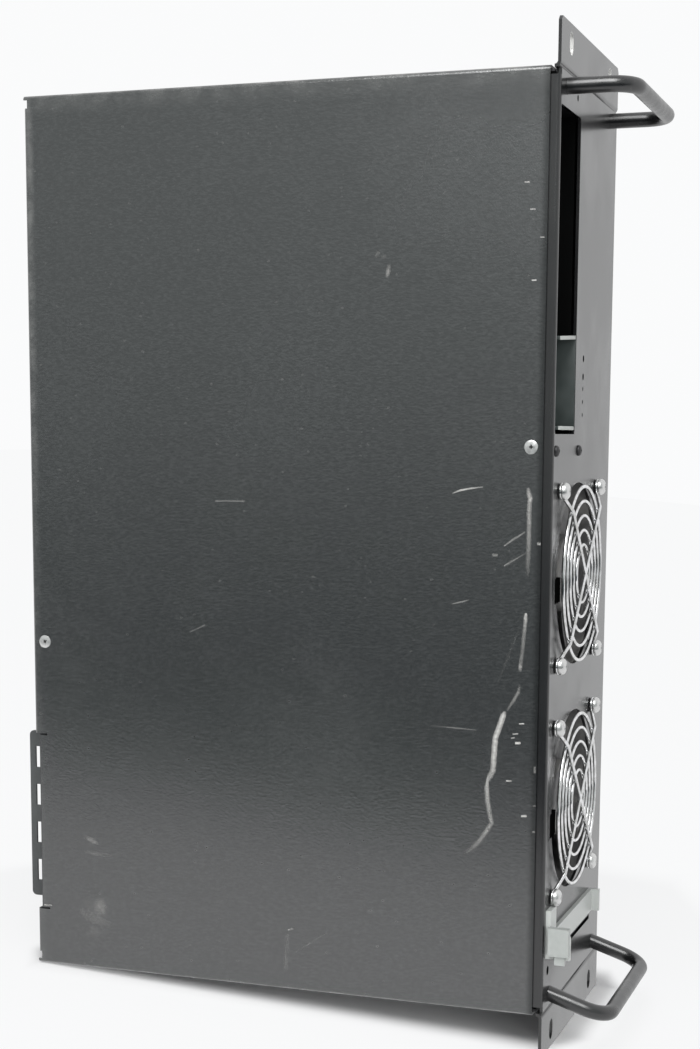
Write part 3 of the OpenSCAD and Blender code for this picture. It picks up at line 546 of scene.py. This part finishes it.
# Handles: 7.4 mm steel rod, bent twice and held by a screw in each leg. Gloss
# black enamel; the left one has been knocked out of line, towards its own side.
rod_r = 3.7
rod_sides = 28
handle_x = 213.0
handle_low, handle_high = 16.25, 116.25
handle_reach = 30.0
bend_r = 12.0
left_lean = 18.0
panel_front = -135.0
enamel_black, enamel_nicked = (0.004, 0.004, 0.0045, 1), (0.03, 0.03, 0.03, 1)
enamel, tree, shader = finish_of("gloss_enamel", IOR=1.8)
flow = noise(tree, here(tree), 120.0, 3.0)
nicks = remap(tree, noise(tree, here(tree), 700.0, 2.0), 0.66, 0.74)
colour = mixed(tree, nicks, enamel_black, enamel_nicked)
skin(tree, shader, colour, remap(tree, flow, 0.3, 0.7, 0.26, 0.34))
bumped(tree, shader, flow, 0.0002, 0.1)


def of_kind(made, kind):
    return [g for g in made if isinstance(g, kind)]


def drawn(bm, edges, by):
    """Draws an open ring of edges out along a vector; returns the new ring's edges."""
    made = bmesh.ops.extrude_edge_only(bm, edges=edges)["geom"]
    bmesh.ops.translate(bm, vec=by, verts=of_kind(made, bmesh.types.BMVert))
    return of_kind(made, bmesh.types.BMEdge)


def bent(bm, edges, centre, axis, degrees, steps=10):
    """Bends an open ring of edges about a centre; returns the new ring's edges."""
    verts = {v for e in edges for v in e.verts}
    made = bmesh.ops.spin(bm, geom=list(verts) + edges, cent=centre, axis=axis,
                          angle=math.radians(degrees), steps=steps)
    return of_kind(made["geom_last"], bmesh.types.BMEdge)


def handle(lean):
    """A bent rod, leaning about its legs, with its ends cut off level with the panel's face."""
    leg = handle_reach - bend_r
    spare = rod_r * 2
    bm = bmesh.new()
    start = Matrix.Translation((0, spare, handle_low)) @ to_front
    verts = bmesh.ops.create_circle(bm, segments=rod_sides, radius=rod_r)["verts"]
    bmesh.ops.transform(bm, matrix=start, verts=verts)
    edges = drawn(bm, bm.edges[:], (0, -leg - spare, 0))
    edges = bent(bm, edges, (0, -leg, handle_low + bend_r), (1, 0, 0), -90)
    edges = drawn(bm, edges, (0, 0, handle_high - handle_low - 2 * bend_r))
    edges = bent(bm, edges, (0, -leg, handle_high - bend_r), (1, 0, 0), -90)
    drawn(bm, edges, (0, leg + spare, 0))
    bmesh.ops.rotate(bm, matrix=Matrix.Rotation(math.radians(lean), 3, "Z"), verts=bm.verts)
    bmesh.ops.translate(bm, vec=(0, panel_front, 0), verts=bm.verts)
    bmesh.ops.bisect_plane(bm, geom=bm.verts[:] + bm.edges[:] + bm.faces[:],
                           plane_co=(0, panel_face, 0), plane_no=(0, 1, 0), clear_outer=True)
    bmesh.ops.holes_fill(bm, edges=[e for e in bm.edges if e.is_boundary], sides=0)
    bmesh.ops.recalc_face_normals(bm, faces=bm.faces)
    return bm


for side, x, lean in (("left", -handle_x, -left_lean), ("right", handle_x, 0.0)):
    bm = handle(lean)
    bmesh.ops.translate(bm, vec=(x, 0, 0), verts=bm.verts)
    piece(side + "_pull_handle", bm, enamel, "case", [side + "_handle"])

# Fan guards: 1.8 mm spring wire, five rings welded under two crossing struts whose
# ends bend back to an eye round each screw. Bright chrome, slightly dulled.
wire_r = 0.9
wire_sides = 12
ring_steps, eye_steps = 96, 24
ring_rs = (42.5, 35.4, 28.3, 21.2, 14.1)
ring_y = -137.9
strut_y = -139.5
strut_bend_r = 2.5
eye_y = -135.95
eye_r = 3.15
corner_r = fan_screw_pitch / math.sqrt(2)
kink_r = 44.5
chrome_bright, chrome_dull = (0.8, 0.8, 0.81, 1), (0.55, 0.55, 0.54, 1)
chrome, tree, shader = finish_of("bright_chrome", Metallic=1.0)
dulled = noise(tree, here(tree), 260.0, 4.0, 0.65)
colour = mixed(tree, remap(tree, dulled, 0.35, 0.7), chrome_bright, chrome_dull)
skin(tree, shader, colour, remap(tree, dulled, 0.35, 0.75, 0.1, 0.3))


def wire_end(bm, place):
    """The round outline of a wire; returns its vertices and edges."""
    verts = bmesh.ops.create_circle(bm, segments=wire_sides, radius=wire_r)["verts"]
    bmesh.ops.transform(bm, matrix=place, verts=verts)
    return verts, list({e for v in verts for e in v.link_edges})


def wire_ring(bm, radius, centre, steps):
    """A closed ring of wire about an axis along Y."""
    before = set(bm.verts)
    verts, edges = wire_end(bm, Matrix.Translation((radius, 0, 0)))
    bmesh.ops.spin(bm, geom=verts + edges, cent=(0, 0, 0), axis=(0, 1, 0),
                   angle=math.tau, steps=steps, use_merge=True)
    bmesh.ops.translate(bm, vec=centre, verts=[v for v in bm.verts if v not in before])


def strut(bm):
    """Half a strut: out along +X from the middle, then bent back to its eye."""
    rise, reach = eye_y - strut_y, corner_r - eye_r - kink_r
    slope = math.atan2(rise, reach)
    slack = strut_bend_r * math.tan(slope / 2)
    run = math.hypot(rise, reach) - slack
    middle = Matrix.Translation((0, strut_y, 0)) @ Matrix.Rotation(math.radians(90), 4, "Y")
    edges = wire_end(bm, middle)[1]
    edges = drawn(bm, edges, (kink_r - slack, 0, 0))
    bend_centre = (kink_r - slack, strut_y + strut_bend_r, 0)
    edges = bent(bm, edges, bend_centre, (0, 0, 1), math.degrees(slope), 5)
    drawn(bm, edges, (run * math.cos(slope), run * math.sin(slope), 0))


def fan_guard():
    bm = bmesh.new()
    for r in ring_rs:
        wire_ring(bm, r, (0, ring_y, 0), ring_steps)
    arm = bmesh.new()
    strut(arm)
    wire_ring(arm, eye_r, (corner_r, eye_y, 0), eye_steps)
    joined(bm, arm, *[Matrix.Rotation(math.radians(a), 4, "Y") for a in (45, 135, 225, 315)])
    arm.free()
    bmesh.ops.remove_doubles(bm, verts=bm.verts, dist=0.001)
    bmesh.ops.recalc_face_normals(bm, faces=bm.faces)
    return bm


for side, x in fan_xs.items():
    bm = fan_guard()
    bmesh.ops.translate(bm, vec=(x, 0, fan_z), verts=bm.verts)
    piece(side + "_wire_guard", bm, chrome, "case", [side + "_fan_guard"], 60.0)

# Guard screws: nickel-plated pan heads that clamp the guard's eyes and cut
# their own thread in the corners of the fan frames.
guard_screw_seat = -136.9
nickel_dull, nickel_bright = (0.5, 0.5, 0.5, 1), (0.82, 0.82, 0.81, 1)
nickel = mottled("nickel_plate", nickel_dull, nickel_bright, (0.26, 0.4), 420.0, Metallic=1.0)
half = fan_screw_pitch / 2
corners = [(u * half, w * half) for u in (-1, 1) for w in (-1, 1)]
guard_screw = pan_screw(head_d=8.4, head_h=3.2, shank_d=4.0, shank_len=13.0)
for side, x in fan_xs.items():
    bm = bmesh.new()
    for u, w in corners:
        joined(bm, guard_screw, Matrix.Translation((x + u, guard_screw_seat, fan_z + w)) @ to_front)
    replaced = [side + "_guard_screws"]
    piece(side + "_guard_screw_set", bm, nickel, "case", replaced)
guard_screw.free()

# Door bracket and latch: a strip with turned-out ears, screwed flat on the
# panel, and the small die-cast catch that once held a filter door.
strip_grey, strip_rubbed = (0.4, 0.418, 0.404, 1), (0.52, 0.54, 0.523, 1)
cast_dark, cast_light = (0.3, 0.317, 0.306, 1), (0.4, 0.42, 0.406, 1)
strip_paint = powder_paint("strip_grey_paint", strip_grey, strip_rubbed, (0.3, 0.42),
                           fine_grains, 0.1)
dress(strip_paint, "door_bracket")
cast = mottled("cast_latch", cast_dark, cast_light, (0.4, 0.55), 300.0, 4.0, Metallic=0.1)
dress(cast, "door_latch")

# Top cover: 1.2 mm steel with folded lips, in a wrinkle powder paint that looks
# slate grey in the light. Its side folds are partly rubbed and partly a painted highlight, its rear
# fold and right-hand edge carry a painted highlight, its face is smudged, and the gloss is worn off
# along its front edge.
cover_dark, cover_light = (0.0098, 0.0113, 0.0118, 1), (0.026, 0.0285, 0.029, 1)
speck_grey, smudge_grey = (0.1, 0.1, 0.097, 1), (0.2, 0.195, 0.185, 1)
# Pale grey for rubbed paint and painted highlight on the cover's folds and edges
rub_and_highlight_grey = (0.3, 0.3, 0.29, 1)
cover_half, cover_top = 0.22, 0.1325
cover_front, cover_rear = -0.1304, 0.135
# Each smudge: its place on the face, and its reach along X and along Y, in metres
smudges = (((-0.187, 0.098), 0.006, 0.005), ((-0.1935, 0.1036), 0.011, 0.011))
cover_paint, tree, shader = finish_of("cover_wrinkle_paint", IOR=2.1)
grain = placed(tree, powder_grain, Grains_per_metre=900.0)
touched = placed(tree, handling, Patches_per_metre=5.0)
at = here(tree)
x, y, z = axes(tree)

# The paint itself: wrinkles, grain and handling marks, with pale specks
wrinkle = noise(tree, stretched(tree, at, (1300.0, 380.0, 1300.0)), 1.0, 3.0, 0.6)
mask = remap(tree, wrinkle, 0.36, 0.68, -0.3, 0.8)
for pattern, share in ((touched["Patches"], 0.3), (touched["Streaks"], 0.1), (grain["Tips"], 0.4)):
    mask = plus(tree, mask, times(tree, pattern, share))
colour = mixed(tree, mask, cover_dark, cover_light)
dots = noise(tree, stretched(tree, at, (520.0, 300.0, 520.0)), 1.0, 1.0)
colour = mixed(tree, remap(tree, dots, 0.72, 0.8, 0.0, 0.5), colour, speck_grey)

# Smudges on the face
breakup = noise(tree, at, 90.0, 4.0, 0.7)
for place, along_x, along_y in smudges:
    near = tree.nodes.new("ShaderNodeMapping")
    near.inputs["Location"].default_value = (-place[0] / along_x, -place[1] / along_y, 0)
    near.inputs["Scale"].default_value = (1 / along_x, 1 / along_y, 0)
    tree.links.new(at, near.inputs["Vector"])
    away = tree.nodes.new("ShaderNodeVectorMath")
    away.operation = "LENGTH"
    tree.links.new(near.outputs["Vector"], away.inputs[0])
    spot = remap(tree, away.outputs["Value"], 0.1, 1.1, 1.0, 0.0)
    spot = times(tree, spot, remap(tree, breakup, 0.38, 0.7))
    colour = mixed(tree, times(tree, spot, 0.42), colour, smudge_grey)

# Side folds painted pale: partly rubbed paint, partly painted highlight; painted highlight along
# the rear fold and the right-hand edge, in patches
side_fold = remap(tree, reckon(tree, "ABSOLUTE", x), cover_half - 0.0014, cover_half - 0.0007)
side_fold = times(tree, side_fold, remap(tree, z, cover_top - 0.0016, cover_top - 0.0008))
fold_rub_and_highlight = times(tree, side_fold, remap(tree, noise(tree, at, 60.0, 5.0, 0.7), 0.4, 0.66))
colour = mixed(tree, times(tree, fold_rub_and_highlight, 0.4), colour, rub_and_highlight_grey)
# Painted highlight: a pale band on the rear fold, stronger towards +X, and one along the right-hand
# edge
rear_highlight = remap(tree, y, cover_rear - 0.006, cover_rear - 0.0025)
rear_highlight = times(tree, rear_highlight, remap(tree, x, -0.05, 0.12, 0.3, 1.0))
right_edge_highlight = remap(tree, x, cover_half - 0.012, cover_half - 0.001, 0.0, 0.5)
edge_highlight = reckon(tree, "MAXIMUM", rear_highlight, right_edge_highlight)
edge_highlight = times(tree, edge_highlight, remap(tree, breakup, 0.35, 0.7, 0.06, 0.3))
colour = mixed(tree, edge_highlight, colour, rub_and_highlight_grey)
skin(tree, shader, colour, remap(tree, touched["Patches"], 0.0, 1.0, 0.22, 0.29))

# The front edge, where the worn paint shines like metal
front_edge = remap(tree, y, cover_front, cover_front + 0.004, 0.6, 0.0)
shine = times(tree, front_edge, remap(tree, wrinkle, 0.3, 0.7, 0.8, 1.0))
tree.links.new(shine, shader.inputs["Metallic"])
bumped(tree, shader, grain["Height"], 0.00025, 0.35)
dress(cover_paint, "top_cover")

# Scrapes on the cover: where the paint has been scuffed to primer and steel.
# Each is a thin film on the face, barest along its middle and fading at its ends.
cover_face = 132.53
edge_share, end_share = 0.3, 0.6
scuff_dark, scuff_light = (0.48, 0.475, 0.455, 1), (0.68, 0.675, 0.65, 1)
# Each scrape: its places (x, y and how bare it is there), then its width
scrapes = (
    # long smears along the front edge
    (((31.6, -123.7, 0.3), (29.5, -124.1, 0.4), (27.1, -124.9, 0.7), (24.5, -124.6, 0.42),
      (20.0, -124.5, 0.45), (14.0, -124.6, 0.36), (8.0, -124.6, 0.33), (2.0, -124.5, 0.24),
      (-4.0, -124.3, 0.16), (-9.5, -124.3, 0.04)), 2.3),
    (((-26.4, -123.9, 0.7), (-28.8, -123.7, 0.7), (-31.5, -123.6, 0.36), (-38.0, -123.0, 0.26),
      (-45.0, -122.5, 0.2), (-49.8, -121.8, 0.24), (-52.0, -121.6, 0.5),
      (-54.0, -121.4, 0.08)), 2.0),
    (((-60.0, -121.6, 0.06), (-63.6, -121.0, 0.3), (-67.5, -118.9, 0.28),
      (-72.5, -115.6, 0.15)), 1.8),
    (((-73.3, -114.7, 0.4), (-75.3, -113.8, 0.85), (-80.0, -112.3, 0.85), (-85.7, -110.3, 0.85),
      (-90.0, -109.9, 0.8), (-96.0, -109.6, 0.75), (-101.6, -109.3, 0.6), (-104.5, -108.0, 0.5),
      (-107.1, -106.6, 0.6)), 2.9),
    (((-107.1, -106.6, 0.6), (-110.0, -106.4, 0.6), (-116.2, -106.8, 0.5), (-121.5, -107.8, 0.42),
      (-127.2, -109.0, 0.36), (-131.0, -106.8, 0.4), (-135.9, -103.5, 0.28),
      (-140.7, -99.1, 0.14), (-143.5, -95.5, 0.02)), 2.4),
    # fine lines
    (((28.6, -87.5, 0.3), (30.0, -91.0, 0.75), (31.0, -96.0, 0.7), (31.8, -102.3, 0.3)), 1.0),
    (((4.6, -112.8, 0.3), (7.6, -117.0, 0.32), (11.3, -122.7, 0.3)), 1.2),
    (((-4.7, -113.0, 0.32), (-2.8, -116.0, 0.25), (1.6, -123.4, 0.12)), 1.2),
    (((-23.4, -87.5, 0.2), (-22.3, -92.0, 0.4), (-21.2, -96.3, 0.2)), 0.8),
    (((-82.0, -78.0, 0.04), (-82.4, -90.0, 0.26), (-82.9, -100.7, 0.2)), 0.8),
    (((-35.3, -120.2, 0.03), (-48.0, -115.4, 0.04), (-60.8, -110.6, 0.02)), 1.6),
    (((134.2, -55.5, 0.14), (131.0, -55.0, 0.32), (128.3, -54.4, 0.2)), 2.4),
    (((138.0, -48.7, 0.08), (140.2, -50.4, 0.12)), 2.2),
    (((137.7, -51.4, 0.06), (138.1, -53.9, 0.08)), 2.0),
    (((23.0, 33.2, 0.2), (23.2, 17.4, 0.25)), 0.8),
    (((-42.1, 47.1, 0.15), (-38.3, 38.9, 0.2)), 0.8),
    (((-150.4, 107.5, 0.05), (-152.2, 103.2, 0.26), (-154.0, 99.4, 0.08)), 3.2),
    (((-158.6, 107.1, 0.05), (-159.1, 100.5, 0.1), (-159.7, 91.8, 0.05)), 2.6),
    (((-191.6, -5.0, 0.07), (-199.9, -4.5, 0.04), (-209.7, -4.2, 0.1)), 3.0),
    (((-190.4, 110.5, 0.02), (-193.4, 103.0, 0.08), (-196.7, 92.1, 0.02)), 6.5),
    (((-200.4, -9.6, 0.05), (-194.4, -18.0, 0.08), (-188.5, -26.5, 0.04)), 0.8),
    # chips: short marks
    (((-78.7, -121.6, 1.0), (-78.5, -124.0, 1.0)), 0.6),
    (((-83.8, -118.6, 0.8), (-83.4, -121.2, 0.8)), 0.6),
    (((-85.8, -117.8, 0.7), (-85.4, -119.6, 0.7)), 0.6),
    (((-88.0, -119.8, 1.0), (-87.8, -122.4, 1.0)), 1.3),
    (((-106.3, -115.8, 0.9), (-106.3, -118.4, 0.9)), 0.7),
    (((-122.8, -123.4, 1.0), (-122.6, -126.0, 1.0)), 1.1),
    (((169.1, -119.6, 0.8), (169.1, -121.8, 0.8)), 0.8),
    (((157.1, -122.4, 0.7), (157.1, -124.8, 0.7)), 0.7),
    (((144.6, -127.2, 0.6), (144.6, -129.2, 0.6)), 0.7),
    (((125.6, -123.6, 0.8), (125.6, -125.8, 0.8)), 0.8),
    (((0.3, -107.4, 0.25), (0.3, -109.8, 0.25)), 1.6),
    (((6.0, -128.6, 0.4), (6.0, -130.2, 0.5)), 1.4),
    (((-98.6, -129.5, 0.25), (-101.8, -129.5, 0.25)), 1.2),
    (((-117.5, -129.0, 0.25), (-117.5, -130.2, 0.25)), 1.0),
    (((-130.0, -129.0, 0.3), (-130.0, -130.3, 0.3)), 1.0),
    (((-188.9, 131.2, 0.7), (-188.8, 126.8, 0.5)), 0.8),
    (((-189.5, -5.3, 0.5), (-188.5, -7.9, 0.4)), 0.7),
)
scuffed, tree, shader = finish_of("scuffed_paint")
strength = tree.nodes.new("ShaderNodeAttribute")
strength.attribute_name = "strength"
bands = noise(tree, stretched(tree, here(tree), (1100.0, 420.0, 1.0)), 1.0, 3.0, 0.6)
colour = mixed(tree, bands, scuff_dark, scuff_light)
skin(tree, shader, colour, remap(tree, bands, 0.3, 0.7, 0.45, 0.6))
cover = times(tree, strength.outputs["Fac"], remap(tree, bands, 0.3, 0.6, 0.7, 1.0))
tree.links.new(cover, shader.inputs["Alpha"])

bm = bmesh.new()
layer = bm.verts.layers.float.new("strength")
for points, width in scrapes:
    last = len(points) - 1
    places = [Vector((*point[:2], cover_face)) for point in points]
    for v in bmesh.ops.create_grid(bm, x_segments=last, y_segments=2, size=0.5)["verts"]:
        i = round((v.co.x + 0.5) * last)
        side = round(v.co.y * 2)
        ahead = (places[min(i + 1, last)] - places[max(i - 1, 0)]).normalized()
        taper = end_share if last > 1 and i in (0, last) else 1.0
        v.co = places[i] + Vector((-ahead.y, ahead.x, 0)) * side * taper * width / 2
        v[layer] = points[i][2] * (edge_share if side else 1.0)
piece("cover_scrapes", bm, scuffed, "case", ())

# Cover screws: zinc-plated countersunk heads, flush with the lid, with a cross
# recess coloured near-black below the face; one near the front edge and one near the rear lip show.
head_r, head_t = 3.2, 1.2
head_edge, head_round = 0.15, 0.08
shank_r, shank_end = 1.5, -7.2
lid_recess_width, lid_recess_depth = 3.4, 1.0
lid_screw_places = ((50.4, -124.8, 132.5), (-50.3, 128.2, 132.5))
rear_screw_turn = 0.6
plate_dull, plate_bright = (0.6, 0.6, 0.59, 1), (0.88, 0.88, 0.87, 1)
recess_black = (0.02, 0.02, 0.02, 1)
zinc_plate, tree, shader = finish_of("zinc_plate", Metallic=0.9)
plated = noise(tree, here(tree), 600.0, 3.0)
x, y, z = axes(tree)
# Near-black below the head's face, in the recess
below_face = remap(tree, z, cover_top - 0.0006, cover_top - 0.0002, 1.0, 0.0)
colour = mixed(tree, below_face, mixed(tree, plated, plate_dull, plate_bright), recess_black)
skin(tree, shader, colour, remap(tree, plated, 0.3, 0.7, 0.25, 0.42))
bm = bmesh.new()
turned(bm, [(0, 0), (head_r - head_edge, 0), (head_r, -head_round), (head_r - head_t, -head_t),
            (shank_r, -head_t), (shank_r, shank_end), (0, shank_end)], 40)
cover_screw = carved(bm, cross_recess(lid_recess_width, 0.0, lid_recess_depth))
bm = bmesh.new()
for place, turn in zip(lid_screw_places, (0.0, rear_screw_turn)):
    joined(bm, cover_screw, Matrix.Translation(place) @ Matrix.Rotation(turn, 4, "Z"))
cover_screw.free()
piece("lid_screws", bm, zinc_plate, "case", ["cover_screws"])

# Studio: the case stands on its left side as it was photographed, tipped on its
# ear, so the white floor lies under that side; it keeps the shadow and is open from below.
# The sheet ends a little way in front of the case, and beyond it is the dim room.
floor_size = 6.0
floor_front = 0.575
floor_touch = (-0.2418, -0.135, floor_front - floor_size / 2)
ear_half, case_depth = 0.2413, 0.27
floor_tip = math.atan2(ear_half - cover_half, case_depth)
shade_half_d, shade_front = 0.137, 0.1018
paper_white, backdrop_white = (0.88, 0.88, 0.88, 1), (0.96, 0.965, 0.97, 1)
bm = bmesh.new()
bmesh.ops.create_grid(bm, x_segments=1, y_segments=1, size=floor_size / 2)
upright = Matrix.Rotation(-floor_tip, 4, "Z") @ Matrix.Rotation(math.radians(90), 4, "Y")
bmesh.ops.transform(bm, matrix=Matrix.Translation(floor_touch) @ upright, verts=bm.verts)
mesh = bpy.data.meshes.new("studio_floor")
bm.to_mesh(mesh)
bm.free()
floor = bpy.data.objects.new("studio_floor", mesh)
bpy.context.scene.collection.objects.link(floor)


def rays(tree):
    """Two masks: rays from the camera, and rays that show the room in gloss and glass."""
    path = tree.nodes.new("ShaderNodeLightPath").outputs
    mirrored = reckon(tree, "MAXIMUM", path["Is Glossy Ray"], path["Is Transmission Ray"])
    return path["Is Camera Ray"], mirrored


def blended(tree, mask, a, b):
    """Shader a where the mask is 0 and b where it is 1."""
    n = tree.nodes.new("ShaderNodeMixShader")
    for socket, value in zip(n.inputs, (mask, a, b)):
        tree.links.new(value, socket)
    return n.outputs["Shader"]


paper = bpy.data.materials.new("studio_paper")
paper.use_nodes = True
tree = paper.node_tree
tree.nodes.remove(tree.nodes["Principled BSDF"])
matte = tree.nodes.new("ShaderNodeBsdfDiffuse")
matte.inputs["Color"].default_value = paper_white
glow = tree.nodes.new("ShaderNodeEmission")
glow.inputs["Color"].default_value = backdrop_white
glow.inputs["Strength"].default_value = 1.0
clear = tree.nodes.new("ShaderNodeBsdfTransparent")
x, y, z = axes(tree)

# How far a place on the floor is from the case: white paper, with the shadow left near the case
beside = reckon(tree, "SUBTRACT", reckon(tree, "ABSOLUTE", y), shade_half_d)
before = reckon(tree, "SUBTRACT", z, shade_front)
before = reckon(tree, "SUBTRACT", before, times(tree, y, math.tan(floor_tip)))
before = reckon(tree, "MAXIMUM", before, times(tree, z, -1.0))
beside = times(tree, reckon(tree, "MAXIMUM", beside, 0.0), 1.6)
before = times(tree, reckon(tree, "MAXIMUM", before, 0.0), 0.7)
away = plus(tree, beside, before)
near_lift = remap(tree, away, 0.005, 0.025, 0.0, 0.86)
far_lift = remap(tree, away, 0.02, 0.2, 0.0, 0.97)
direct, mirrored = rays(tree)
lift = times(tree, direct, reckon(tree, "MAXIMUM", near_lift, far_lift))
lift = reckon(tree, "MAXIMUM", lift, times(tree, mirrored, 0.97))
lifted = blended(tree, lift, matte.outputs["BSDF"], glow.outputs["Emission"])
below = tree.nodes.new("ShaderNodeNewGeometry").outputs["Backfacing"]
surface = blended(tree, below, lifted, clear.outputs["BSDF"])
tree.links.new(surface, tree.nodes["Material Output"].inputs["Surface"])
mesh.materials.append(paper)

world = bpy.data.worlds.new("studio_room")
bpy.context.scene.world = world
world.use_nodes = True
tree = world.node_tree
room = tree.nodes["Background"]
room.inputs["Color"].default_value = (0.97, 0.98, 1.0, 1)
room.inputs["Strength"].default_value = 0.32
shown = tree.nodes.new("ShaderNodeBackground")
way = tree.nodes.new("ShaderNodeSeparateXYZ")
tree.links.new(tree.nodes.new("ShaderNodeTexCoord").outputs["Generated"], way.inputs["Vector"])
direct, mirrored = rays(tree)
room_dark, room_pale = (0.06, 0.078, 0.085, 1), (0.6, 0.63, 0.625, 1)
dim_room = mixed(tree, remap(tree, way.outputs["X"], -0.2, 0.08), room_dark, room_pale)
behind_camera = remap(tree, way.outputs["Z"], 0.0, 0.35)
mirror_view = mixed(tree, behind_camera, backdrop_white, dim_room)
tree.links.new(mixed(tree, direct, mirror_view, backdrop_white), shown.inputs["Color"])
seen = reckon(tree, "MAXIMUM", direct, mirrored)
surface = blended(tree, seen, room.outputs["Background"], shown.outputs["Background"])
tree.links.new(surface, tree.nodes["World Output"].inputs["Surface"])

# Each lamp: its place, size, power, and whether it is mirrored in gloss
lamps = {
    "overhead_softbox": ((1.0, -0.2, 1.05), 0.85, 17.0, True),
    "front_fill": ((0.15, -1.0, 1.2), 0.9, 13.0, False),
}
lamp_aim = Vector((0, 0, 0.06))
for name, (place, size, power, mirrored) in lamps.items():
    lamp = bpy.data.lights.new(name, "AREA")
    lamp.size = size
    lamp.energy = power
    obj = bpy.data.objects.new(name, lamp)
    obj.location = place
    obj.rotation_euler = (lamp_aim - obj.location).to_track_quat("-Z", "Y").to_euler()
    obj.visible_camera = False
    obj.visible_glossy = mirrored
    bpy.context.scene.collection.objects.link(obj)

camera_place = (0.05623, -0.32664, 0.96740)
camera_turn = (-7.8255, 19.1568, -89.6648)
lens = bpy.data.cameras.new("photo_camera")
lens.sensor_fit = "VERTICAL"
lens.sensor_height = 36.0
lens.lens = 63.225
lens.shift_y = 0.1578
lens.clip_start = 0.01
camera = bpy.data.objects.new("photo_camera", lens)
camera.location = camera_place
camera.rotation_euler = [math.radians(a) for a in camera_turn]
bpy.context.scene.collection.objects.link(camera)
bpy.context.scene.camera = camera
bpy.context.scene.view_settings.view_transform = "Standard"
